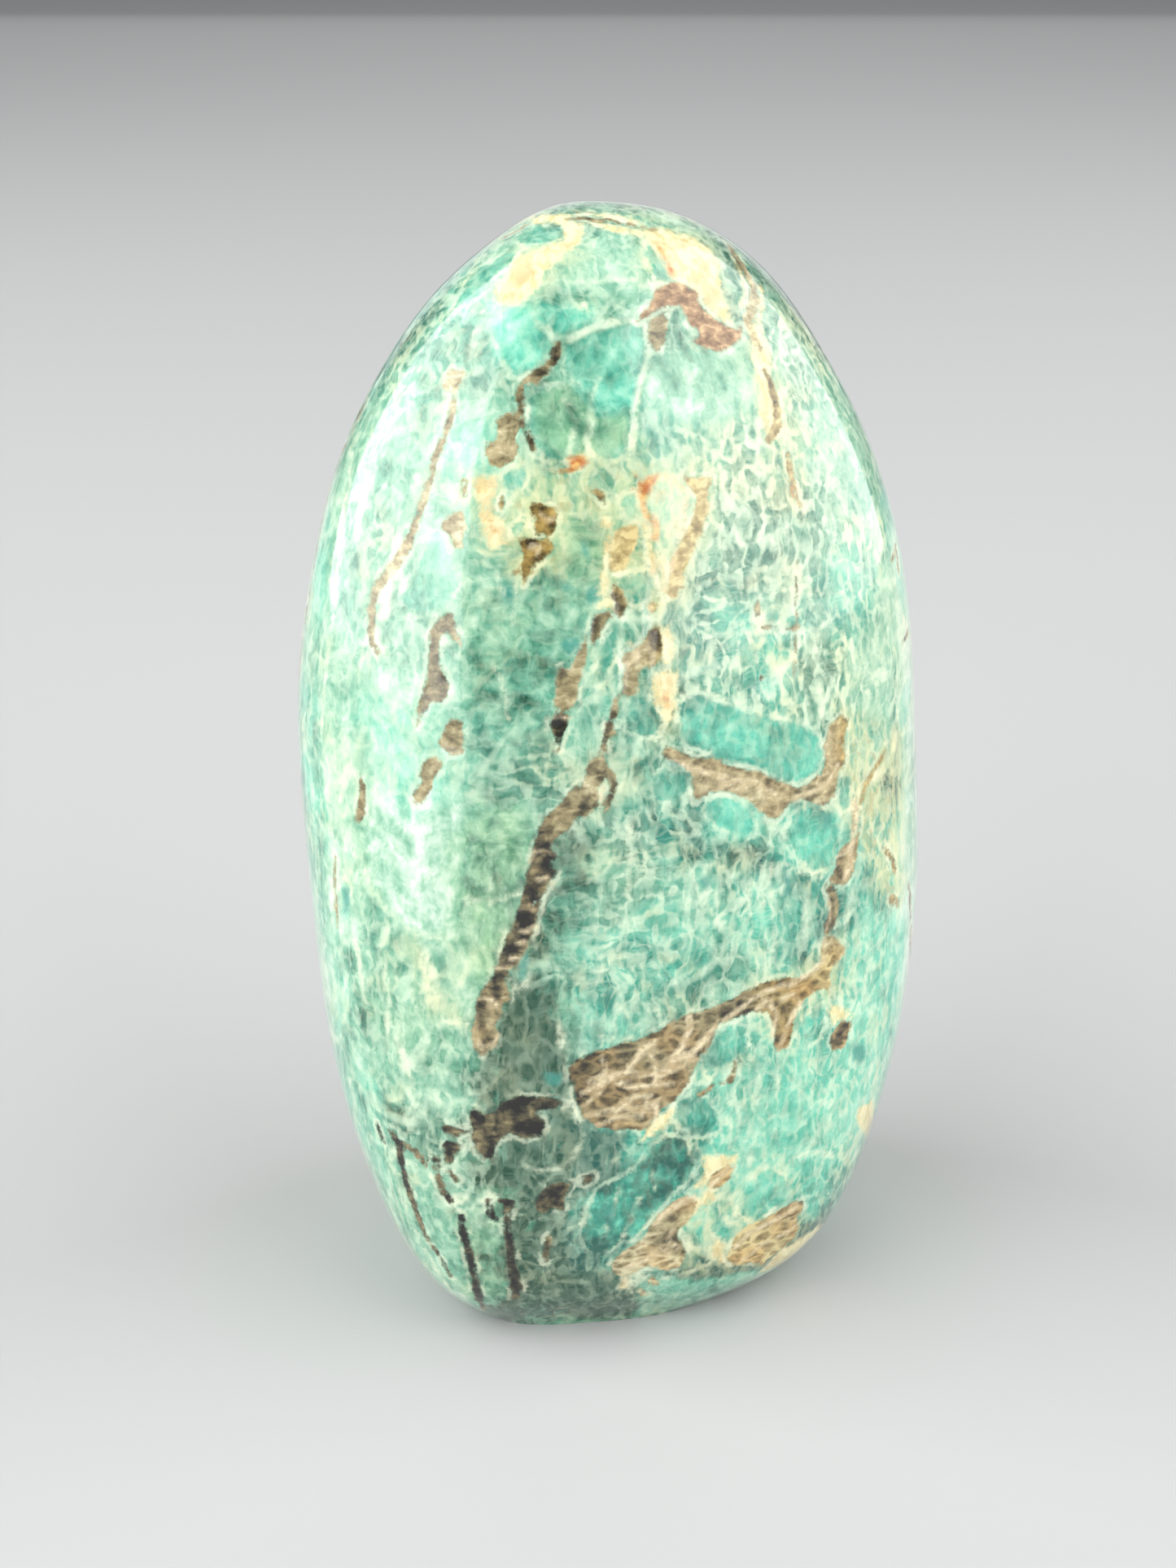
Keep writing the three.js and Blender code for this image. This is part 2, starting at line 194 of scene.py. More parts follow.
# (half width in pixels at each point) x, y, w
FLINES = {
 "tan": [
  [(1051,985,5),(1053,1003,6),(1051,1020,5),(1049,1040,3.4),(1046,1062,3.4),(1040,1080,3)],
  [(664,632,1),(672,640,1.4),(680,636,1)],
  [(652,672,1.2),(664,672,1.4),(660,682,1)],
  [(776,600,1.4),(788,612,1.6),(796,640,1.6),(800,664,1.4)],
  [(846,600,1.4),(842,640,1.6),(830,680,1.6),(824,705,1.4)],
  [(640,1117,.8),(650,1114,1),(660,1123,.8)],
  [(660,1138,.8),(650,1144,1),(638,1146,.8)],
  [(646,1158,.8),(636,1160,.8)],
  [(640,1180,1),(628,1177,.8)],
  [(626,1190,1),(610,1190,.8)],
  [(590,1228,1.2),(604,1229,1.4),(612,1238,1.2),(600,1238,1.2)],
  [(585,1250,1),(583,1270,1.2),(590,1288,1.2),(604,1288,1.2),(612,1272,1.2)],
  [(664,1048,.8),(680,1050,1)],
  [(660,1083,1.4),(672,1080,1.6),(680,1087,1.2)],
  [(678,882,.8),(690,880,1),(700,884,.8)],
  [(742,968,1.6),(737,976,2),(741,984,1.4)],
  [(655,1046,1.2),(652,1062,1.2)],
  [(848,1250,2.6),(848,1266,3.4),(838,1290,3.9),(826,1302,2.6)],
  [(880,1262,2.6),(866,1280,3.9),(850,1296,3.9),(832,1304,3.9),(812,1322,2.6),(806,1330,1.8)],
  [(800,1296,2.6),(806,1310,3.1),(812,1324,2.6)],
  [(806,1282,2.6),(790,1290,3.9),(782,1304,2.9),(772,1316,1.8)],
  [(722,1330,1.8),(745,1322,2.3),(765,1320,2.3),(790,1322,2.9),(815,1322,2.1),(835,1312,2.9),(858,1300,1.8)],
  [(715,1345,1.8),(735,1336,2.3),(752,1328,2.9),(770,1336,2.3),(800,1336,2.3),(826,1334,1.8)],
  [(716,1362,1.8),(730,1350,1.8),(742,1338,1.8)],
  [(756,1368,2.3),(768,1356,2.9),(782,1349,2.9),(796,1349,2.9),(800,1358,2.6),(792,1364,1.8)],
  [(720,1374,1.8),(745,1366,2.3),(770,1364,2.3),(800,1362,2.3),(812,1352,1.8)],
  [(735,1384,1.8),(756,1376,1.8),(790,1374,1.8)],
  [(800,1345,1.8),(808,1362,2.3),(806,1380,1.8)],
  [(740,1300,1.8),(745,1316,1.8),(738,1330,1.8)],
  [(890,1256,1.8),(912,1240,2.2),(930,1226,2.2),(950,1216,2.2),(975,1208,2.2),(1000,1196,2.4),(1014,1180,2.4)],
  [(930,1240,1.8),(945,1232,2.2),(956,1250,2.2),(948,1276,1.4)],
  [(960,1230,1.8),(975,1222,2.2),(985,1232,2.2),(970,1260,2.2),(958,1290,1.4)],
  [(806,1506,2.4),(820,1490,4),(840,1478,4),(856,1472,3)],
  [(790,1540,1.4),(812,1536,2),(830,1545,1.4)],
  [(770,1560,2.4),(778,1556,2.4),(790,1552,2.2),(806,1546,2.2)],
  [(828,1512,1.6),(820,1526,1.8),(836,1536,1.6)],
  [(905,1535,2.2),(925,1515,3),(945,1505,3),(965,1495,2.2),(980,1485,2.2)],
  [(915,1550,2.2),(940,1530,2.2),(965,1518,2.2),(982,1505,1.6)],
  [(872,1460,3),(884,1450,2.4),(898,1436,2)],
  [(838,940,1.6),(868,950,2),(900,958,2),(930,962,2),(958,980,1.8)],
  [(860,968,1.6),(890,964,1.6),(915,972,1.6)],
  [(975,982,1.6),(1000,974,2),(1020,962,2),(1032,940,1.6)],
  [(1030,1054,1.4),(1044,1046,1.6),(1052,1030,1.2)],
  [(1018,1100,1.4),(1022,1120,1.6),(1018,1144,1.2)],
  [(772,790,1.4),(786,806,2),(770,820,1.4)],
  [(600,556,2),(616,548,2.4),(628,552,1.6)],
 ],
 "cream": [
  [(800,590,2.4),(812,586,3.4),(828,590,4),(836,598,3)],
  [(788,642,3),(795,660,4.4),(800,684,4),(804,704,3)],
  [(812,676,3),(818,698,4.4),(818,722,4)],
  [(812,606,1.6),(806,622,2)],
  [(672,269,4),(690,266,4),(703,262,2.6)],
  [(700,275,2.6),(720,272,2.6),(740,276,3),(765,281,4),(790,284,5),(815,286,6)],
  [(706,260,1.6),(732,262,2.6),(760,266,3),(786,271,2.6)],
  [(750,658,4),(746,680,4),(743,705,4),(742,728,5)],
  [(738,742,5),(752,742,5)],
  [(742,640,6),(752,646,3)],
  [(812,776,4),(818,790,5),(820,806,5)],
  [(903,316,1.6),(914,340,1.8),(916,360,1.6),(912,385,1.6)],
  [(936,350,2),(938,372,2.4),(934,392,3),(938,412,4),(946,440,4)],
 ],
 "brown": [
  [(677,1048,4),(675,1066,4),(671,1082,5),(664,1096,5),(660,1110,4),(656,1130,5),(648,1150,5),(641,1168,5),(631,1186,4)],
  [(786,1588,5),(792,1594,4)],
  [(800,1574,4),(806,1580,4)],
  [(770,1572,3),(766,1584,4)],
  [(686,421,3),(684,434,5),(677,446,6)],
  [(668,455,6),(656,464,7),(646,466,4)],
  [(641,474,3),(638,488,6)],
  [(641,500,5),(637,512,6),(641,522,4)],
  [(648,532,4),(652,545,4),(658,556,2)],
  [(557,493,4),(552,515,4),(546,536,4),(533,563,5),(528,590,4),(522,604,4),(514,632,5),(501,667,6),(485,694,7),(471,710,7),(458,729,5),(455,758,5),(455,790,4),(463,801,3)],
  [(941,455,4),(948,468,5),(955,495,5),(958,524,6),(946,541,5)],
  [(981,690,1.4),(980,740,1.4),(979,800,1.6),(976,830,1.2)],
  [(938,771,1.4),(960,772,1.4),(984,772,1.8)],
  [(932,742,4),(932,758,4)],
  [(969,556,4),(973,579,4),(976,602,4),(986,622,3)],
  [(697,268,2),(706,267,3.4),(716,265,4),(732,269,3.6),(748,268,3.2),(764,272,3.2),(784,276,2.6),(806,280,1.8)],
  [(704,259,1.6),(718,257,2.2),(728,258,1.6)],
  [(614,292,1.4),(634,282,2),(649,273,2)],
  [(894,296,2),(901,306,4),(911,322,6),(922,338,5),(928,352,6),(929,372,8),(920,392,7),(928,412,6),(936,428,4)],
  [(535,1436,4),(539,1452,4.4),(543,1464,5.4),(553,1477,4)],
  [(550,1439,2),(561,1452,4)],
  [(566,1495,4),(568,1515,5),(574,1532,4.4)],
  [(576,1538,6),(580,1559,4.4),(584,1582,5),(589,1600,5.4),(595,1612,3.4)],
  [(616,1478,4),(632,1479,4)],
  [(622,1484,4),(624,1515,4.2),(627,1538,5.6),(630,1564,5.6),(634,1582,7),(634,1597,5)],
  [(600,1477,4),(604,1495,4),(609,1501,3)],
  [(674,1523,4),(670,1551,3)],
  [(461,1383,4),(469,1403,4)],
  [(478,1390,5),(489,1408,6),(492,1434,4.6),(500,1462,6),(510,1490,4.2),(520,1518,4),(533,1536,3),(553,1569,2.6)],
  [(489,1403,3),(510,1417,4.4),(522,1434,3)],
  [(410,1055,2),(409,1090,3),(411,1119,4),(413,1141,2)],
  [(907,1304,3),(899,1330,3),(880,1333,3),(860,1347,3)],
  [(937,833,4),(937,834,4)],
  [(1087,1040,3),(1098,1056,4),(1102,1072,3)],
  [(1095,1104,5),(1106,1112,5)],
  [(1060,985,4),(1068,960,4),(1080,940,4),(1092,918,3)],
  [(1098,690,3),(1103,670,3),(1106,700,3)],
  [(1112,790,3),(1118,775,3)],
 ],
 "dark": [
  [(671,1042,6),(672,1043,6)],
  [(675,1054,6),(676,1062,5)],
  [(679,1076,2.4),(679,1077,2.4)],
  [(654,1092,4),(655,1104,5)],
  [(647,1129,9),(647,1131,9)],
  [(642,1151,5),(642,1153,5)],
  [(630,1167,6),(630,1169,6)],
  [(626,1183,3),(627,1184,3)],
  [(616,1199,5),(616,1201,5)],
  [(611,1214,5),(610,1224,4)],
  [(589,1254,2),(590,1262,2)],
  [(598,1278,3),(602,1280,2)],
  [(722,986,6),(716,998,5)],
  [(738,957,3),(744,955,2)],
  [(756,966,1.6),(748,986,1.4)],
  [(690,828,3),(692,838,3)],
  [(694,876,1.2),(698,880,1.2)],
  [(684,890,5),(689,900,4),(690,910,2)],
  [(730,768,4),(731,790,2)],
  [(802,778,4),(806,792,4)],
  [(753,880,2),(743,912,3)],
  [(656,622,1.6),(668,626,2)],
  [(676,648,2.4),(668,656,1.6)],
  [(640,664,1.6),(654,665,2.4)],
  [(668,682,2),(654,692,1.4)],
  [(756,722,3),(764,740,4),(764,752,3)],
  [(790,388,3),(806,380,3),(820,377,2)],
  [(684,428,1.4),(682,440,2)],
  [(660,462,2),(668,456,2)],
  [(640,486,2.4)  ,(641,492,2)],
  [(642,504,2),(640,518,3)],
  [(648,536,2),(652,546,2)],
  [(584,1366,3),(590,1376,4)],
  [(622,1362,4),(648,1354,4)],
  [(600,1404,4),(602,1420,3)],
  [(636,1386,5),(662,1390,4)],
  [(552,1410,5),(556,1424,4)],
  [(528,1422,3),(538,1430,3)],
  [(566,1499,2),(568,1515,2.4),(573,1530,2)],
  [(577,1545,2),(582,1570,2),(590,1600,2.4)],
  [(486,1404,2),(491,1420,2.6),(493,1440,2)],
  [(624,1500,1.6),(628,1545,2.4),(631,1568,3),(633,1590,3)],
  [(485,1402,1.4),(491,1412,1.4)],
  [(461,1383,3),(469,1403,3)],
  [(668,1470,4),(686,1466,5),(672,1480,3)],
  [(720,1450,3),(726,1446,3)],
  [(620,1479,3),(630,1479,2)],
  [(601,1480,2),(606,1497,2)],
  [(664,1474,5),(690,1460,5)],
  [(812,1530,8),(826,1518,8),(838,1540,6)],
  [(1040,1262,5),(1030,1282,5)],
  [(906,316,1),(912,328,1.4)],
  [(937,833,3),(938,834,3)],
  [(710,262,2),(742,264,3)],
  [(1016,1120,4),(1020,1140,4)],
  [(1026,1060,4),(1034,1080,3)],
  [(670,1530,2),(672,1546,2)],
 ],
 "seam": [
  [(754,760,1.4),(743,775,1.6),(737,798,1.4),(730,820,1.5),(717,842,1.6),(712,862,1.4),(704,882,1.6),(697,904,1.4),(690,922,1)],
  [(749,866,1.2),(744,892,1.4),(737,912,1.4),(733,930,1.2)],
  [(652,1178,2.6),(654,1192,3.4),(648,1206,3.4),(640,1216,2.6)],
  [(606,818,1.2),(616,840,1.4),(622,862,1.4),(624,884,1.2)],
  [(772,1030,2.4),(774,1060,3),(772,1100,2.4)],
  [(738,1190,3),(738,1210,3.4),(742,1222,2.6)],
  [(764,1236,3),(766,1246,2.6)],
  [(600,1108,1.4),(640,1100,1.2)],
  [(574,1100,2),(570,1130,1.6)],
  [(700,417,2.5),(729,403,2.5),(760,395,2.5),(783,393,2.5)],
  [(700,346,1.4),(729,343,1.2),(757,343,1.2),(786,343,1.4),(801,348,1.6)],
  [(729,386,2),(749,398,2.4),(772,386,2),(795,375,2)],
  [(656,386,2),(675,407,2.6),(681,419,3)],
  [(707,370,2),(728,375,2.2),(742,394,2.2),(760,391,2)],
  [(737,466,.9),(727,488,1.1),(724,512,1.2),(722,536,1.2),(724,560,1.4),(734,568,1.4),(748,570,1.4)],
  [(722,520,.8),(706,500,.8),(694,492,.6)],
  [(700,556,.8),(704,530,.8),(714,512,.6)],
  [(798,432,1.6),(789,466,1.8),(781,500,1.8),(779,530,2.2),(776,552,3),(764,566,3)],
  [(592,381,3),(590,392,4),(582,420,5),(578,440,3)],
  # a pale seam that also draws the lower edge of the painted reflection on the left
  [(433,1018,2),(442,1050,2.2),(452,1088,2.4),(474,1120,2.4),(501,1144,2.4),(522,1152,2),(562,1153,1.6)],
  [(514,1152,3),(525,1179,4),(533,1203,5),(538,1229,4),(554,1251,3.4),(576,1259,2.6)],
  [(489,1270,3),(493,1290,4),(498,1312,5),(503,1334,5),(507,1355,3)],
  [(547,1220,2),(560,1262,2)],
  [(511,587,4),(505,620,5),(498,644,5),(486,668,4),(474,720,6),(473,750,6),(460,780,5),(447,792,4)],
  [(783,388,2),(798,370,2),(806,352,1.6)],
  [(612,708,1.2),(618,730,1.2),(628,748,1.2),(631,768,1)],
  [(640,690,1.2),(634,720,1.2),(632,745,1)],
  [(690,655,1.8),(695,680,2),(688,702,2)],
  [(764,762,2),(762,790,2.6),(765,820,2.4)],
  [(843,700,1.6),(843,722,1.6),(832,738,1.6)],
  [(901,541,2.4),(935,544,3),(967,558,2.6)],
  [(926,395,3),(936,420,3),(945,450,3)],
  [(852,1072,1.6),(861,1101,1.4),(878,1127,1.4),(898,1144,1.6)],
  [(938,1066,1.8),(964,1063,2),(987,1072,2),(1013,1078,1.8)],
  [(775,1015,3),(775,1066,3)],
  [(948,1070,3),(951,1110,4),(953,1158,3.4),(945,1190,3)],
  [(990,1101,2.6),(991,1152,2.6)],
  [(924,1084,2.6),(918,1118,2.6),(915,1147,3),(905,1150,2.4)],
  [(964,1296,3),(955,1335,2.6)],
  [(968,1290,1.6),(958,1320,1.8),(954,1350,1.4)],
  [(884,1262,2.4),(868,1290,2.4),(852,1320,2.6),(838,1346,3),(820,1364,3),(800,1388,3.4),(792,1402,3)],
  [(913,1335,3),(907,1324,2.6),(922,1302,3.4)],
  [(896,1375,3),(899,1397,3.6),(919,1408,3.4),(922,1436,2.6)],
  [(978,1425,2.4),(997,1417,2.6),(1025,1422,4)],
  [(880,1473,3),(902,1473,3),(916,1450,3),(925,1442,3)],
  [(1005,780,3),(1004,800,4),(1006,820,3)],
  [(1008,846,3),(1010,866,3)],
  [(1070,833,2.4),(1085,824,2.8),(1099,833,2.6),(1102,850,2.2),(1098,880,2)],
  [(941,838,4),(953,827,5),(970,815,3)],
  [(1044,1003,4),(1058,972,5),(1085,949,6),(1099,917,4)],
  [(1010,870,3),(1014,890,3.4),(1030,904,2)],
  [(1032,1000,3),(1042,1020,3.6),(1040,1035,3)],
  [(1046,1100,2.4),(1040,1150,2.4),(1044,1190,2.6)],
  [(836,858,2.4),(862,846,2.4),(893,862,3),(940,872,2.6),(950,880,3),(990,888,2.4)],
  [(700,262,6),(724,258,8),(745,263,8),(768,269,7),(795,277,8)],
  [(838,575,2),(860,580,2),(880,584,1.6)],
  [(590,1210,1.6),(640,1215,1.4)],
  [(566,1108,1.6),(610,1105,1.6),(622,1104,1.4)],
  [(602,1082,1.6),(604,1104,1.8),(596,1130,1.4)],
  [(478,1400,2),(484,1440,3),(492,1470,3),(502,1500,2.4)],
  [(553,1476,3),(566,1472,2.4),(600,1466,2.4)],
  [(783,1584,3),(786,1568,4),(797,1560,4)],
  [(836,1514,4),(846,1524,5),(850,1534,4)],
  [(686,1240,3),(688,1262,4.5),(690,1284,4)],
  [(742,1276,3),(752,1280,2.4)],
  [(876,1214,2),(882,1236,2)],
  [(760,1236,3),(768,1250,3.4)],
  [(800,1240,3),(812,1246,3)],
  [(566,1478,2),(590,1474,3),(610,1470,2.4)],
  [(562,1490,3),(585,1500,3),(604,1508,2)],
  [(700,1512,1),(716,1506,1),(726,1494,1)],
  [(762,1530,1.2),(776,1500,1.6),(786,1474,1.2)],
  [(742,1520,1),(754,1490,1.4),(760,1462,1)],
  [(800,1440,1),(806,1462,1.2)],
  [(866,1466,4),(890,1470,4),(908,1466,3),(922,1450,2.4)],
  [(904,1480,3),(906,1500,3),(902,1520,2.4)],
  [(872,1536,4),(876,1550,3)],
  [(762,1584,2.4),(790,1570,2.6),(830,1572,2.4),(870,1556,2)],
  [(430,560,4),(424,600,4),(418,650,5),(412,700,5),(408,760,4)],
  [(470,520,4),(455,560,5),(444,610,5),(436,660,4)],
  [(400,800,3),(396,850,3),(394,900,3)],
  [(386,1100,3),(390,1150,3),(396,1200,3),(404,1260,3),(414,1320,3),(428,1380,3)],
  [(418,1140,3),(436,1160,4),(440,1190,3),(446,1230,3)],
  [(424,930,3),(420,960,4),(414,990,3)],
  [(512,1180,3),(522,1205,4),(530,1232,5),(546,1252,5),(572,1262,4)],
  [(488,1262,3),(491,1290,4.4),(498,1325,5.4),(504,1352,3)],
  [(470,1180,2.4),(476,1230,3),(474,1280,2.4)],
  [(512,1420,2.4),(532,1450,3),(552,1480,2.4)],
  [(470,1400,2),(482,1440,3),(494,1480,3),(512,1520,3),(534,1560,3),(556,1590,2.4)],
  [(560,1480,4),(585,1474,5),(612,1480,3)],
  [(700,1340,1.4),(716,1400,1.6),(700,1430,1.4)],
  [(640,1430,1.4),(660,1440,1.6),(700,1436,1.4)],
 ],
 "rust": [
  [(598,592,1),(606,606,1.2)],
  [(602,640,1),(610,656,1.2)],
  [(586,600,.8),(590,618,.8)],
  [(804,634,2),(808,646,3),(807,664,3)],
  [(788,598,2),(780,580,1)],
  [(789,614,3),(792,629,3),(806,643,3.4),(806,663,2.6)],
  [(700,566,5),(718,566,5)],
  [(818,852,3),(821,868,2.4)],
  [(976,600,2),(977,612,2)],
  [(810,302,2),(826,330,2)],
 ],
}
